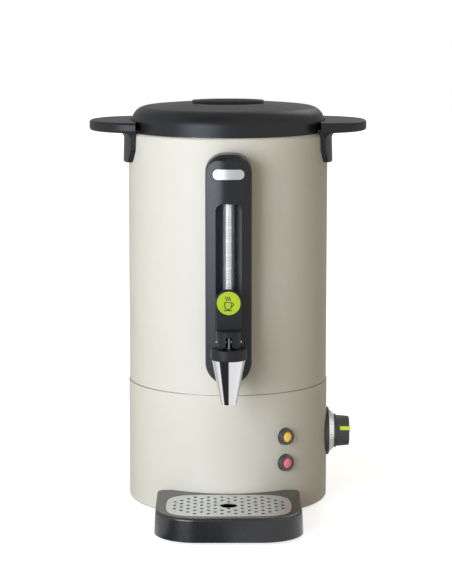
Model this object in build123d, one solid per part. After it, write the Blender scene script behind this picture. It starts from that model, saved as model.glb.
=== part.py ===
"""Hot water urn: a double-walled kettle with a lever tap, a level glass and a drip tray.

Millimetres, +Z up.  The origin is on the urn's axis, on the table.  The tap faces -Y, so a place in
front of the axis is given by its reach, which is -Y.  The thermostat dial faces +X.
"""
from build123d import *
import math
import os

# ---------------------------------------------------------------- driving sizes: body shells
foot_standout = 2.0
casing_radius = 110.0
casing_wall = 1.0
casing_top_round = 3.0
upper_casing_height = 276.4
base_casing_height = 133.7
base_step = 0.8
base_bottom_round = 3.0
base_flange_width = 12.0
seam_gap = 0.6
seam_band_wall = 1.2
seam_band_overlap = 11.0
sheet_fit = 0.1
loose_fit = 0.3
running_fit = 0.05

# vessel
air_gap = 5.2
vessel_wall = 0.8
vessel_depth = 273.7
vessel_corner = 8.0
vessel_flange_width = 2.5
vessel_mouth_gap = 0.3

# base plate, feet and tie rods
base_plate_thickness = 1.2
base_plate_fit = 0.3
foot_radius = 10.0
foot_circle_radius = 85.0
foot_count = 4
foot_screw_radius = 1.45
foot_screw_head_radius = 3.0
foot_screw_head_height = 1.4
foot_screw_sunk = 0.9
foot_screw_length = 8.0
screw_hole_gap = 0.15
thread_gap = 0.05
screw_end_gap = 1.0
tie_rod_radius = 4.0
tie_rod_circle_radius = 88.0
tie_rod_angles = (30.0, 150.0, 270.0)
machine_screw_radius = 1.95
machine_screw_head_radius = 3.9
machine_screw_head_height = 1.8
base_screw_length = 11.0
vent_count = 10
vent_circle_radius = 62.0
vent_width = 3.0
vent_length = 16.0

# heating
heater_plate_radius = 66.0
heater_plate_thickness = 5.0
element_ring_radius = 50.0
element_tube_radius = 4.0
element_gap_angle = 32.0
element_leg_length = 20.0
terminal_width = 6.3
terminal_thickness = 0.8
terminal_length = 9.0
bulb_radius = 3.0
bulb_length = 60.0
bulb_offset = 6.0
capillary_radius = 0.8
capillary_bend = 6.0
capillary_exit = 8.0
capillary_drop = 19.0
contact_gap = 0.1

# ---------------------------------------------------------------- driving sizes: lid
lid_radius = 106.5
lid_seat_gap = 0.2
lid_lip_gap = 0.1
lid_rim_height = 9.4
lid_round = 17.0
lid_dome_slope = 5.5
lid_wall = 2.5
grip_radius = 39.5
grip_bar_width = 28.0
grip_depth = 13.4
grip_bar_rise = 3.6
grip_bar_crown = 42.0
grip_bar_arch = 420.0
liner_wall = 0.8
liner_radius = 100.0
liner_depth = 7.5
liner_flange_height = 3.0
seal_height = 3.5
seal_drop = 1.5

# ---------------------------------------------------------------- driving sizes: handles
handle_radius = 60.0
handle_centre = 93.0
handle_inner_end = 100.4
handle_thickness = 11.3
handle_edge_round = 3.0
handle_lid_gap = 1.0
handle_rise_gap = 1.2
leg_top_thickness = 4.6
leg_bottom_thickness = 5.6
leg_half_width = 47.0
leg_shoulder_half_width = 45.0
leg_shoulder_drop = 20.0
leg_tip_half_width = 36.0
leg_drop = 33.6
leg_corner = 7.0
leg_fillet = 10.0
leg_fillet_half_width = 44.0
handle_screw_spread = 18.0
handle_screw_drop = 20.0
handle_screw_length = 4.4

# ---------------------------------------------------------------- driving sizes: tap column
column_half_width = 24.7
column_standoff = 32.0
column_crown = 60.0
column_edge_round = 9.0
column_wall = 2.5
column_top = 398.2
column_corner = 20.0
window_half_width = 13.85
window_drop = 51.6
window_socket_gap = 7.5
window_corner = 7.5
channel_wall = 2.0
channel_setback = 11.0
column_screw_spread = 14.0
column_screw_drop = 18.2
column_boss_radius = 4.5
column_screw_length = 14.0
badge_half_length = 16.5
badge_half_height = 5.3
badge_drop = 20.6
badge_thickness = 0.8
badge_crown_depth = 5.0

# level glass
tube_radius = 6.0
tube_wall = 1.5
tube_seat_gap = 1.5
tube_top_rise = 15.8
tube_gap = 0.3
scale_thickness = 0.4
scale_half_width = 2.85
scale_low_gap = 3.0
scale_high_gap = 1.2
tube_seal_height = 3.0
tube_seal_radius = 8.0

# ---------------------------------------------------------------- driving sizes: tap
tap_standoff = 22.0
shank_rise = 40.7
shank_radius = 11.0
shank_bore_radius = 7.0
shank_end_proud = 2.5
shank_shoulder_setback = 4.0
spigot_radius = 8.5
spigot_end_gap = 12.5
spigot_bore_radius = 5.5
socket_radius = 8.2
socket_rise = 28.5
socket_depth = 9.5
socket_bore_radius = 3.5
spout_top_rise = 8.5
spout_length = 47.5
spout_top_radius = 17.75
spout_tip_radius = 8.4
spout_throat_radius = 4.5
spout_mouth_radius = 6.6
chamber_radius = 10.0
chamber_depth = 21.5
boss_radius = 13.0
boss_flange_thickness = 3.0
front_washer_thickness = 1.5
bonnet_radius = 19.15
bonnet_height = 11.7
bonnet_edge_round = 1.5
bonnet_plug_depth = 4.0
bonnet_cavity_radius = 7.0
bonnet_roof = 2.5
bush_radius = 17.0
inner_washer_radius = 16.0
inner_washer_depth = 4.0
tap_nut_flats = 30.0
tap_nut_thickness = 6.5

# stem, cup, spring, pin and lever
stem_radius = 2.5
stem_head_rise = 4.0
stem_end_rise = 6.0
stem_flange_radius = 6.0
stem_flange_thickness = 1.5
cup_radius = 8.0
cup_height = 10.0
spring_radius = 5.0
spring_wire_radius = 0.5
spring_turns = 6
spring_end_gap = 0.05
pin_rise = 6.8
pin_radius = 1.5
pin_half_length = 13.7
barrel_radius = 12.2
barrel_lip_radius = 13.2
barrel_rise = 12.0
barrel_foot_gap = 0.3
cam_radius = 5.5
slot_half_width = 3.3
slot_rise = 6.0
slot_back = 5.0
paddle_radius = 14.0
paddle_half_width = 13.4
paddle_centre_rise = 40.3
paddle_setback = 4.0
paddle_thickness = 8.0
paddle_edge_round = 1.5
disc_radius = 12.4
disc_thickness = 1.6
disc_inset = 1.0

# ---------------------------------------------------------------- driving sizes: controls
dial_height = 74.1
dial_base_radius = 27.0
dial_base_thickness = 2.6
dial_base_chamfer = 0.8
dial_hole_radius = 6.0
dial_screw_spread = 17.0
dial_screw_head_radius = 3.5
dial_screw_sunk = 2.0
dial_ring_radius = 24.8
dial_ring_top_radius = 19.3
dial_ring_thickness = 5.5
knob_gap = 0.3
knob_flange_radius = 19.0
knob_flange_thickness = 2.2
knob_root_radius = 17.7
knob_end_radius = 16.4
knob_length = 14.9
knob_edge_round = 1.0
knob_bore_depth = 9.0
pointer_half_width = 2.15
pointer_angle = 20.0
pointer_length = 10.8
pointer_proud = 0.7
pointer_depth = 3.0
pointer_end_inner = 3.0
spindle_radius = 3.0
spindle_inside = 9.0
spindle_end_gap = 1.0
bracket_setback = 9.8
bracket_thickness = 1.4
bracket_half_width = 26.0
bracket_rise = 29.1
bracket_foot_length = 16.0
thermostat_depth = 26.0
thermostat_half_width = 15.0
thermostat_half_height = 17.0
thermostat_bush_radius = 4.75
thermostat_shoulder_radius = 9.0
thermostat_shoulder_thickness = 2.0
thermostat_bush_length = 5.0
spade_width = 4.8
spade_length = 8.0
spade_thickness = 0.8

lamp_azimuth = 33.9
amber_lamp_height = 87.3
red_lamp_height = 58.2
bezel_radius = 10.0
bezel_front_radius = 8.4
bezel_proud = 5.2
bezel_barrel_radius = 6.9
bezel_barrel_length = 14.0
bezel_bore_radius = 5.2
lens_radius = 6.0
lens_seat_depth = 3.6
lens_dome = 1.2
lens_gate_radius = 0.6
lamp_body_length = 28.0
lamp_nut_flats = 18.0
lamp_nut_thickness = 3.0
lamp_nut_back = 0.6

# cord inlet, terminals and cut-out
gland_height = 28.0
gland_flange_radius = 11.0
gland_proud = 4.2
gland_barrel_radius = 8.0
gland_barrel_length = 11.0
gland_bore_radius = 4.0
gland_nut_flats = 21.0
gland_nut_thickness = 5.0
gland_nut_back = 1.4
block_half_length = 20.0
block_depth = 16.0
block_height = 15.0
block_reach_back = 68.0
block_screw_radius = 2.4
block_pitch = 12.0
cutout_x = -40.0
cutout_half_length = 15.0
cutout_half_width = 10.0
cutout_height = 24.0
button_radius = 3.7
button_shoulder_radius = 5.0
button_shoulder_thickness = 1.5
button_gap = 0.4
button_sunk = 1.4
button_length = 7.6
button_travel = 1.5
button_stop_gap = 1.0
wire_radius = 1.2
wire_bend = 14.0
wire_spacing = 7.0

# ---------------------------------------------------------------- driving sizes: drip tray
tray_half_width = 78.7
tray_front_reach = 222.0
tray_wing_depth = 20.3
tray_front_corner = 45.0
tray_back_corner = 8.0
tray_body_gap = 1.0
tray_lift = 3.0
tray_height = 25.2
tray_draft = 3.0
tray_top_round = 3.0
tray_wall = 2.5
basin_floor = 5.0
basin_floor_thickness = 2.5
basin_ledge = 3.0
pad_radius = 5.0
pad_side_margin = 33.7
pad_front_margin = 32.0
pad_back_margin = 22.4
grid_side_margin = 12.3
grid_back_margin = 4.8
grid_front_margin = 12.8
grid_side_bulge = 5.0
grid_end_bulge = 3.4
grid_corner = 25.0
grid_thickness = 0.6
grid_gap = 0.4
grid_sunk = 0.1
grid_hole_radius = 1.7
grid_pitch = 7.16
grid_hole_margin = 6.5
drain_radius = 9.3

# ---------------------------------------------------------------- sizes that follow
base_radius = casing_radius + base_step
base_low = foot_standout
base_top = base_low + base_casing_height
upper_low = base_top + seam_gap
shank_height = upper_low + shank_rise
casing_top = upper_low + upper_casing_height
casing_inner = casing_radius - casing_wall
leg_radius_top = casing_radius + leg_top_thickness
leg_radius_bottom = casing_radius + leg_bottom_thickness
column_reach = casing_radius + column_standoff
base_inner = base_radius - casing_wall
vessel_outer = casing_inner - air_gap
vessel_inner = vessel_outer - vessel_wall
vessel_flange_radius = vessel_inner + vessel_flange_width
vessel_top = casing_top + vessel_wall
vessel_floor = vessel_top - vessel_depth
vessel_under = vessel_floor - vessel_wall
plate_low = base_low + casing_wall
plate_top = plate_low + base_plate_thickness
heater_low = vessel_under - heater_plate_thickness
lid_low = vessel_top + lid_seat_gap
lid_round_height = lid_low + lid_rim_height
inner_washer_reach = vessel_inner - inner_washer_depth
shank_inner_reach = inner_washer_reach - tap_nut_thickness - shank_end_proud
shank_shoulder_reach = column_reach - shank_shoulder_setback
channel_reach = column_reach - channel_setback
tap_reach = column_reach + tap_standoff
spigot_reach = tap_reach - spigot_end_gap
socket_top = shank_height + socket_rise
socket_floor = socket_top - socket_depth
window_bottom = socket_top + window_socket_gap
window_top = column_top - window_drop
column_screw_height = column_top - column_screw_drop
badge_height = column_top - badge_drop
tube_bottom = socket_floor + tube_seat_gap
tube_top = window_top + tube_top_rise
spout_top = shank_height + spout_top_rise
spout_tip = spout_top - spout_length
seat_height = spout_top - chamber_depth
stem_bottom = seat_height + stem_end_rise
paddle_reach = tap_reach - paddle_setback
bonnet_top = spout_top + bonnet_height
pin_height = bonnet_top + pin_rise
lever_foot = bonnet_top + barrel_foot_gap
barrel_top = pin_height + barrel_rise
dial_face = base_radius + dial_base_thickness
ring_face = dial_face + dial_ring_thickness
knob_low = ring_face + knob_gap
knob_face = knob_low + knob_flange_thickness + knob_length
bracket_reach = base_inner - bracket_setback
bracket_top = dial_height + bracket_rise
spindle_inner_reach = bracket_reach - spindle_inside
tray_top = tray_lift + tray_height
tray_back_reach = base_radius - tray_wing_depth
grid_half_width = tray_half_width - grid_side_margin
grid_back_reach = base_radius + grid_back_margin
grid_front_reach = tray_front_reach - grid_front_margin
pad_spread = tray_half_width - pad_side_margin
pad_back_reach = grid_back_reach + pad_back_margin
pad_front_reach = tray_front_reach - pad_front_margin

past = 1.0  # how far a form runs past the face that it cuts or joins

centred_up = (Align.CENTER, Align.CENTER, Align.MIN)


# ---------------------------------------------------------------- helpers
def upright(radius, low, high, x=0.0, y=0.0):
    """A cylinder along Z between two heights."""
    return Pos(x, y, low) * Cylinder(radius, high - low, align=centred_up)


def ring(outer, inner, low, high, x=0.0, y=0.0):
    """An upright ring."""
    return upright(outer, low, high, x, y) - upright(inner, low - past, high + past, x, y)


def upright_cone(low_radius, high_radius, low, high, x=0.0, y=0.0):
    """A cone frustum along Z."""
    return Pos(x, y, low) * Cone(low_radius, high_radius, high - low, align=centred_up)


def forward(radius, near, far, x=0.0, z=0.0):
    """A cylinder along Y between two reaches in front of the axis."""
    return Pos(x, -far, z) * Rot(-90, 0, 0) * Cylinder(radius, far - near, align=centred_up)


def forward_cone(near_radius, far_radius, near, far, x=0.0, z=0.0):
    """A cone frustum along Y between two reaches."""
    return Pos(x, -near, z) * Rot(90, 0, 0) * Cone(near_radius, far_radius, far - near, align=centred_up)


def sideways(radius, near, far, y=0.0, z=0.0):
    """A cylinder along X."""
    return Pos(near, y, z) * Rot(0, 90, 0) * Cylinder(radius, far - near, align=centred_up)


def sideways_cone(near_radius, far_radius, near, far, y=0.0, z=0.0):
    """A cone frustum along X."""
    return Pos(near, y, z) * Rot(0, 90, 0) * Cone(near_radius, far_radius, far - near, align=centred_up)


def block(x0, x1, y0, y1, z0, z1):
    """A box between its corners."""
    return Pos((x0 + x1) / 2, (y0 + y1) / 2, (z0 + z1) / 2) * Box(x1 - x0, y1 - y0, z1 - z0)


def hex_nut(flats, hole, near, far, z):
    """A hexagon nut along Y, on a threaded stem that points forward."""
    body = Pos(0, -near, z) * Rot(90, 0, 0) * extrude(RegularPolygon(flats / math.sqrt(3), 6), far - near)
    return body - forward(hole, near - past, far + past, 0, z)


def cup(radius, low, high, corner):
    """A cylinder with a rounded bottom edge."""
    body = upright(radius, low, high)
    return fillet(body.edges().group_by(Axis.Z)[0], corner)


def save(node, *pieces):
    """Write the solids of one node to its STEP file."""
    solids = [solid for piece in pieces for solid in piece.solids()]
    export_step(solids[0] if len(solids) == 1 else Compound(solids), f"parts/{node}.step")


def polar(radius, angle):
    """The x and y of a place on a circle about the axis."""
    return radius * math.cos(math.radians(angle)), radius * math.sin(math.radians(angle))


# ---------------------------------------------------------------- body shells and vessel
def handle_screw_places():
    """Side, y and z of each handle screw."""
    height = casing_top - handle_screw_drop
    spreads = (-handle_screw_spread, handle_screw_spread)
    return [(side, spread, height) for side in (1, -1) for spread in spreads]


def make_outer_casing():
    outer = upright(casing_radius, upper_low, casing_top)
    outer = fillet(outer.edges().group_by(Axis.Z)[-1], casing_top_round)
    inner = upright(casing_inner, upper_low, casing_top - casing_wall)
    inner = fillet(inner.edges().group_by(Axis.Z)[-1], casing_top_round - casing_wall)
    casing = outer - inner - upright(vessel_outer + vessel_mouth_gap, upper_low, casing_top + past)
    casing -= forward(shank_radius + loose_fit, vessel_outer, casing_radius + past, 0, shank_height)
    for x in (-column_screw_spread, column_screw_spread):
        hole = machine_screw_radius + screw_hole_gap
        casing -= forward(hole, vessel_outer, casing_radius + past, x, column_screw_height)
    for side, y, z in handle_screw_places():
        hole = machine_screw_radius + screw_hole_gap
        casing -= Rot(0, 0, 0 if side > 0 else 180) * sideways(hole, vessel_outer, casing_radius + past, y, z)
    return casing


def make_base_casing():
    outer = cup(base_radius, base_low, base_top, base_bottom_round)
    inner = cup(base_inner, base_low + casing_wall, base_top + past, base_bottom_round - casing_wall)
    casing = outer - inner - upright(base_radius - base_flange_width, base_low - past, plate_top)
    wall_in = base_inner - base_flange_width
    wall_out = base_radius + past
    for height in (amber_lamp_height, red_lamp_height):
        hole = forward(bezel_barrel_radius + loose_fit, wall_in, wall_out, 0, height)
        casing -= Rot(0, 0, lamp_azimuth) * hole
    casing -= Rot(0, 0, 180) * forward(gland_barrel_radius + sheet_fit, wall_in, wall_out, 0, gland_height)
    casing -= sideways(dial_hole_radius, wall_in, wall_out, 0, dial_height)
    for rise in (-dial_screw_spread, dial_screw_spread):
        hole = machine_screw_radius + screw_hole_gap
        casing -= sideways(hole, wall_in, wall_out, 0, dial_height + rise)
    return casing


def make_inner_vessel():
    outer = cup(vessel_outer, vessel_under, vessel_top, vessel_corner)
    outer += upright(vessel_flange_radius, casing_top, vessel_top)
    inner = cup(vessel_inner, vessel_floor, vessel_top + past, vessel_corner - vessel_wall)
    hole = forward(shank_radius + loose_fit, vessel_inner / 2, casing_radius, 0, shank_height)
    return outer - inner - hole


def foot_places():
    """The centre of each foot."""
    return [polar(foot_circle_radius, (k + 0.5) * 360 / foot_count) for k in range(foot_count)]


def make_base_plate():
    plate = upright(base_radius - base_bottom_round - base_plate_fit, plate_low, plate_top)
    for x, y in foot_places():
        plate -= upright(foot_screw_radius + screw_hole_gap, plate_low - past, plate_top + past, x, y)
    for angle in tie_rod_angles:
        x, y = polar(tie_rod_circle_radius, angle)
        plate -= upright(machine_screw_radius + screw_hole_gap, plate_low - past, plate_top + past, x, y)
    plate -= upright(button_radius + button_gap, plate_low - past, plate_top + past, cutout_x, 0)
    vent = block(-vent_length / 2, vent_length / 2, -vent_width / 2, vent_width / 2,
                 plate_low - past, plate_top + past)
    for k in range(vent_count):
        angle = (k + 0.5) * 360 / vent_count
        plate -= Rot(0, 0, angle) * Pos(vent_circle_radius, 0, 0) * vent
    return plate


def make_feet():
    sink = foot_screw_sunk + foot_screw_head_height
    feet = []
    for x, y in foot_places():
        foot = upright(foot_radius, 0, plate_low, x, y)
        foot -= upright(foot_screw_head_radius + loose_fit, -1, sink, x, y)
        feet.append(foot - upright(foot_screw_radius + screw_hole_gap, -1, plate_top, x, y))
    return feet


def make_foot_screws():
    seat = foot_screw_sunk + foot_screw_head_height
    screws = []
    for x, y in foot_places():
        head = upright(foot_screw_head_radius, foot_screw_sunk, seat, x, y)
        screws.append(head + upright(foot_screw_radius, seat, seat + foot_screw_length, x, y))
    return screws


def make_tie_rods():
    rods = []
    bore = machine_screw_radius + thread_gap
    for angle in tie_rod_angles:
        x, y = polar(tie_rod_circle_radius, angle)
        rod = upright(tie_rod_radius, plate_top, vessel_under, x, y)
        rods.append(rod - upright(bore, plate_top - past, plate_low + base_screw_length + past, x, y))
    return rods


def make_base_screws():
    screws = []
    for angle in tie_rod_angles:
        x, y = polar(tie_rod_circle_radius, angle)
        head = upright(machine_screw_head_radius, plate_low - machine_screw_head_height, plate_low, x, y)
        screws.append(head + upright(machine_screw_radius, plate_low, plate_low + base_screw_length, x, y))
    return screws


def body_shells():
    save("outer_casing", make_outer_casing())
    save("base_casing", make_base_casing())
    band_outer = casing_inner - sheet_fit
    band_low = base_top - seam_band_overlap
    save("seam_band", ring(band_outer, band_outer - seam_band_wall, band_low, upper_low + seam_band_overlap))
    save("inner_vessel", make_inner_vessel())
    save("base_plate", make_base_plate())
    save("rubber_feet", *make_feet())
    save("foot_screws", *make_foot_screws())
    save("tie_rods", *make_tie_rods())
    save("base_screws", *make_base_screws())


# ---------------------------------------------------------------- heating
def element_leg_places():
    """Where the two ends of the heating ring turn down; the gap faces -X."""
    return [polar(element_ring_radius, 180 + side * element_gap_angle / 2) for side in (-1, 1)]


def make_heating_element():
    height = heater_low - element_tube_radius
    sweep_angle = 360 - element_gap_angle
    body = Torus(element_ring_radius, element_tube_radius, major_angle=sweep_angle)
    body = Pos(0, 0, height) * Rot(0, 0, 180 + element_gap_angle / 2) * body
    for x, y in element_leg_places():
        body += Pos(x, y, height) * Sphere(element_tube_radius)
        body += upright(element_tube_radius, height - element_leg_length, height, x, y)
    return body


def make_heater_terminals():
    top = heater_low - element_tube_radius - element_leg_length
    return [
        block(x - terminal_thickness / 2, x + terminal_thickness / 2,
              y - terminal_width / 2, y + terminal_width / 2, top - terminal_length, top)
        for x, y in element_leg_places()
    ]


def bulb_height():
    """The sensing bulbs are clamped against the underside of the heater plate."""
    return heater_low - bulb_radius - contact_gap


def make_bulb(side):
    """One sensing bulb: side 1 serves the thermostat, side -1 the cut-out."""
    return sideways(bulb_radius, -bulb_length / 2, bulb_length / 2, side * bulb_offset, bulb_height())


def tube_along(points, bends, radius):
    """A round tube along straight runs joined by tangent arcs."""
    path = FilletPolyline(*points, radius=bends)
    start = path @ 0
    return sweep(Plane(origin=start, z_dir=path % 0) * Circle(radius), path=path)


def make_capillaries():
    high = bulb_height()
    turn = bulb_length / 2 + capillary_exit
    low = high - capillary_drop
    body_x = bracket_reach - thermostat_shoulder_thickness - thermostat_depth / 2
    body_top = dial_height + thermostat_half_height
    y = bulb_offset
    control = [(bulb_length / 2, y, high), (turn, y, high), (turn, y, low),
               (body_x, y, low), (body_x, y, body_top)]
    cutout_top = plate_top + cutout_height
    safety = [(-bulb_length / 2, -y, high), (-turn, -y, high), (-turn, -y, cutout_top)]
    return [tube_along(route, capillary_bend, capillary_radius) for route in (control, safety)]


def heating():
    save("heater_plate", upright(heater_plate_radius, heater_low, vessel_under))
    save("heating_element", make_heating_element())
    save("heater_terminals", *make_heater_terminals())
    save("sensing_bulbs", make_bulb(1), make_bulb(-1))
    save("capillary_tubes", *make_capillaries())


# ---------------------------------------------------------------- lid
def lid_dome_radius():
    """Radius of the dome that runs tangent into the lid's rounded shoulder."""
    return lid_round + (lid_radius - lid_round) / math.sin(math.radians(lid_dome_slope))


def lid_apex():
    """Height of the lid's highest point."""
    dome_radius = lid_dome_radius()
    return lid_round_height + dome_radius - (dome_radius - lid_round) * math.cos(math.radians(lid_dome_slope))


def lid_form(inset, low):
    """The lid's outer form, or the same form a wall's thickness inside it."""
    slope = math.radians(lid_dome_slope)
    round_x = lid_radius - lid_round
    dome_radius = lid_dome_radius()
    dome_centre = lid_apex() - dome_radius

    def on_round(angle):
        reach = lid_round - inset
        return (round_x + reach * math.sin(angle), 0, lid_round_height + reach * math.cos(angle))

    def on_dome(angle):
        reach = dome_radius - inset
        return (reach * math.sin(angle), 0, dome_centre + reach * math.cos(angle))

    side = lid_radius - inset
    outline = [
        Line((0, 0, low), (side, 0, low)),
        Line((side, 0, low), (side, 0, lid_round_height)),
        ThreePointArc((side, 0, lid_round_height), on_round((slope + math.pi / 2) / 2), on_round(slope)),
        ThreePointArc(on_round(slope), on_dome(slope / 2), on_dome(0)),
        Line(on_dome(0), (0, 0, low)),
    ]
    return revolve(make_face(Wire(outline)), Axis.Z)


def make_lid_shell():
    outer = lid_form(0, lid_low)
    cavity = lid_form(lid_wall, lid_low - past)
    floor = lid_apex() - grip_depth
    above = lid_apex() + grip_bar_rise + past
    pocket = upright(grip_radius + lid_wall, floor - lid_wall, above) & outer
    bar_half = grip_bar_width / 2
    bar = block(-casing_radius, casing_radius, -bar_half, bar_half, floor, above)
    wells = upright(grip_radius, floor, above) - bar
    under_bar = upright(grip_radius - lid_wall, lid_low, above) & block(
        -casing_radius, casing_radius, lid_wall - bar_half, bar_half - lid_wall, lid_low, above)
    shell = (outer - cavity) + pocket - wells
    lip = ring(lid_radius, vessel_flange_radius + lid_lip_gap, casing_top + lid_seat_gap, lid_low)
    return shell - (under_bar & cavity) + make_grip_ridge() + lip


def make_grip_ridge():
    """The rounded top of the bar, standing proud of the dome."""
    low = lid_apex() - lid_wall / 2
    high = lid_apex() + grip_bar_rise
    half = grip_bar_width / 2
    ridge = upright(grip_radius, low, high)
    ridge &= block(-grip_radius, grip_radius, -half, half, low, high)
    ridge &= sideways(grip_bar_crown, -grip_radius, grip_radius, 0, high - grip_bar_crown)
    return ridge & forward(grip_bar_arch, -half, half, 0, high - grip_bar_arch)


def liner_low():
    """Underside of the dish that closes the lid from below."""
    return lid_low - liner_depth


def make_lid_liner():
    low = liner_low()
    flange_low = lid_low + liner_flange_height
    dish = upright(liner_radius, low, flange_low + liner_wall)
    dish -= upright(liner_radius - liner_wall, low + liner_wall, flange_low + liner_wall + past)
    rim_radius = lid_radius - lid_wall - sheet_fit
    return dish + ring(rim_radius, liner_radius - liner_wall, flange_low, flange_low + liner_wall)


def lid():
    save("lid_shell", make_lid_shell())
    save("lid_liner", make_lid_liner())
    seal_top = lid_low - seal_drop
    seal = ring(vessel_inner - loose_fit, liner_radius + running_fit, seal_top - seal_height, seal_top)
    save("lid_seal", seal)


# ---------------------------------------------------------------- handles
def make_handle():
    """The right-hand handle; the left one is its mirror image."""
    low = casing_top + handle_rise_gap
    plate = upright(handle_radius, low, low + handle_thickness, handle_centre, 0)
    plate = fillet(plate.edges().filter_by(GeomType.CIRCLE), handle_edge_round)
    plate &= block(handle_inner_end, handle_centre + handle_radius, -handle_radius, handle_radius,
                   low, low + handle_thickness)
    shoulder = low - leg_shoulder_drop
    tip = low - leg_drop
    outline = make_face(Plane.YZ * Polyline(
        (leg_half_width, low + handle_edge_round), (leg_shoulder_half_width, shoulder),
        (leg_tip_half_width, tip), (-leg_tip_half_width, tip), (-leg_shoulder_half_width, shoulder),
        (-leg_half_width, low + handle_edge_round), close=True))
    tongue = extrude(outline, 2 * casing_radius, dir=(1, 0, 0))
    corners = tongue.edges().filter_by(Axis.X).group_by(Axis.Z)
    tongue = fillet(corners[0] + corners[1], leg_corner)
    leg = upright_cone(leg_radius_bottom, leg_radius_top, tip, low + handle_edge_round) & tongue
    flare_band = ring(leg_radius_top + leg_fillet, casing_radius, low - leg_fillet, low + past)
    flare_band -= Pos(0, 0, low - leg_fillet) * Torus(leg_radius_top + leg_fillet, leg_fillet)
    half = leg_fillet_half_width
    flare_width = block(0, 2 * casing_radius, -half, half, low - leg_fillet, low + past)
    handle = plate + leg + (flare_band & flare_width)
    handle -= upright(casing_radius + sheet_fit, tip - past, low)
    handle -= upright(lid_radius + handle_lid_gap, low - past, low + handle_thickness + past)
    for side, y, z in handle_screw_places():
        if side > 0:
            end = casing_inner + handle_screw_length
            handle -= sideways(machine_screw_radius + thread_gap, vessel_outer, end, y, z)
    return handle


def make_handle_screws():
    screws = []
    for side, y, z in handle_screw_places():
        seat = math.sqrt(casing_inner ** 2 - (abs(y) + machine_screw_head_radius) ** 2) - sheet_fit
        end = casing_inner + handle_screw_length - screw_end_gap
        screw = sideways(machine_screw_head_radius, seat - machine_screw_head_height, seat, y, z)
        screw += sideways(machine_screw_radius, seat, end, y, z)
        screws.append(Rot(0, 0, 0 if side > 0 else 180) * screw)
    return screws


def handles():
    right = make_handle()
    save("right_handle", right)
    save("left_handle", mirror(right, Plane.YZ))
    save("handle_screws", *make_handle_screws())


# ---------------------------------------------------------------- tap column and level glass
def column_outline(inset):
    """Front view of the column: straight sides, a round bottom and a rounded top."""
    half = column_half_width - inset
    top = column_top - inset
    rect = block(-half, half, -1, 0, shank_height, top)
    corners = rect.edges().filter_by(Axis.Y).group_by(Axis.Z)[-1]
    rect = fillet(corners, column_corner - inset)
    return rect + forward(half, 0, 1, 0, shank_height)


def column_block(inset, front, round_radius, back):
    """The column's form between two reaches, with its front edge rounded and its face crowned."""
    face = (column_outline(inset).faces().sort_by(Axis.Y)[0])
    body = Pos(0, 1 - back, 0) * extrude(face, front - back, dir=(0, -1, 0))
    front_edges = body.faces().sort_by(Axis.Y)[0].edges()
    body = fillet(front_edges, round_radius)
    crown = column_crown - inset
    low = shank_height - column_half_width - past
    return body & upright(crown, low, column_top + past, 0, -(column_reach - column_crown))


def make_channel(radius, bottom, top, front):
    """The upright gutter that the level glass stands in, as a solid."""
    gutter = upright(radius, bottom, top, 0, -channel_reach)
    return gutter + block(-radius, radius, -front, -channel_reach, bottom, top)


def make_tap_column():
    back = casing_radius - column_half_width
    outer = column_block(0, column_reach, column_edge_round, back)
    cavity_round = column_edge_round - column_wall
    cavity = column_block(column_wall, column_reach - column_wall, cavity_round, back - past)
    wall_radius = window_half_width + channel_wall
    gutter_low = window_bottom - channel_wall
    gutter = make_channel(wall_radius, gutter_low, window_top + channel_wall, column_reach) & outer
    bosses = [forward(column_boss_radius, casing_inner, column_reach, x, column_screw_height) & outer
              for x in (-column_screw_spread, column_screw_spread)]
    window = make_channel(window_half_width, window_bottom, window_top, column_reach + past)
    view = block(-window_half_width, window_half_width, -column_reach - past, 0, window_bottom, window_top)
    view = fillet(view.edges().filter_by(Axis.Y).group_by(Axis.Z)[-1], window_corner)
    column = (outer - cavity) + gutter
    for boss in bosses:
        column += boss
    column -= window & view
    column -= upright(casing_radius + sheet_fit, base_top, column_top + past)
    column -= upright(tube_radius + tube_gap, tube_bottom, tube_top, 0, -channel_reach)
    column -= forward(spigot_radius + loose_fit, shank_shoulder_reach, column_reach + past, 0, shank_height)
    end = casing_inner + column_screw_length
    for x in (-column_screw_spread, column_screw_spread):
        column -= forward(machine_screw_radius + thread_gap, casing_inner, end, x, column_screw_height)
    return column


def make_badge():
    inner = column_crown
    low = badge_height - badge_half_height - past
    high = badge_height + badge_half_height + past
    skin = ring(inner + badge_thickness, inner + sheet_fit, low, high, 0, -(column_reach - column_crown))
    straight = badge_half_length - badge_half_height
    near = column_reach - badge_crown_depth
    far = column_reach + badge_crown_depth
    plan = block(-straight, straight, -far, -near, low + past, high - past)
    for x in (-straight, straight):
        plan += forward(badge_half_height, near, far, x, badge_height)
    return skin & plan


def make_column_screws():
    screws = []
    for x in (-column_screw_spread, column_screw_spread):
        seat = math.sqrt(casing_inner ** 2 - (abs(x) + machine_screw_head_radius) ** 2) - sheet_fit
        head_back = seat - machine_screw_head_height
        end = casing_inner + column_screw_length - screw_end_gap
        screw = forward(machine_screw_head_radius, head_back, seat, x, column_screw_height)
        screws.append(screw + forward(machine_screw_radius, seat, end, x, column_screw_height))
    return screws


def make_level_scale():
    inner = tube_radius + running_fit
    low = window_bottom + scale_low_gap
    high = window_top - scale_high_gap
    skin = ring(inner + scale_thickness, inner, low, high, 0, -channel_reach)
    near = -channel_reach - 2 * tube_radius
    front = block(-scale_half_width, scale_half_width, near, -channel_reach, low, high)
    return skin & front


def tap_column():
    save("tap_column", make_tap_column())
    save("column_badge", make_badge())
    save("column_screws", *make_column_screws())
    save("level_tube", ring(tube_radius, tube_radius - tube_wall, tube_bottom, tube_top, 0, -channel_reach))
    save("level_scale", make_level_scale())
    upper = window_top + channel_wall
    seals = [ring(tube_seal_radius, tube_radius + running_fit, low, low + tube_seal_height, 0, -channel_reach)
             for low in (socket_top, upper)]
    save("tube_seals", *seals)


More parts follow.
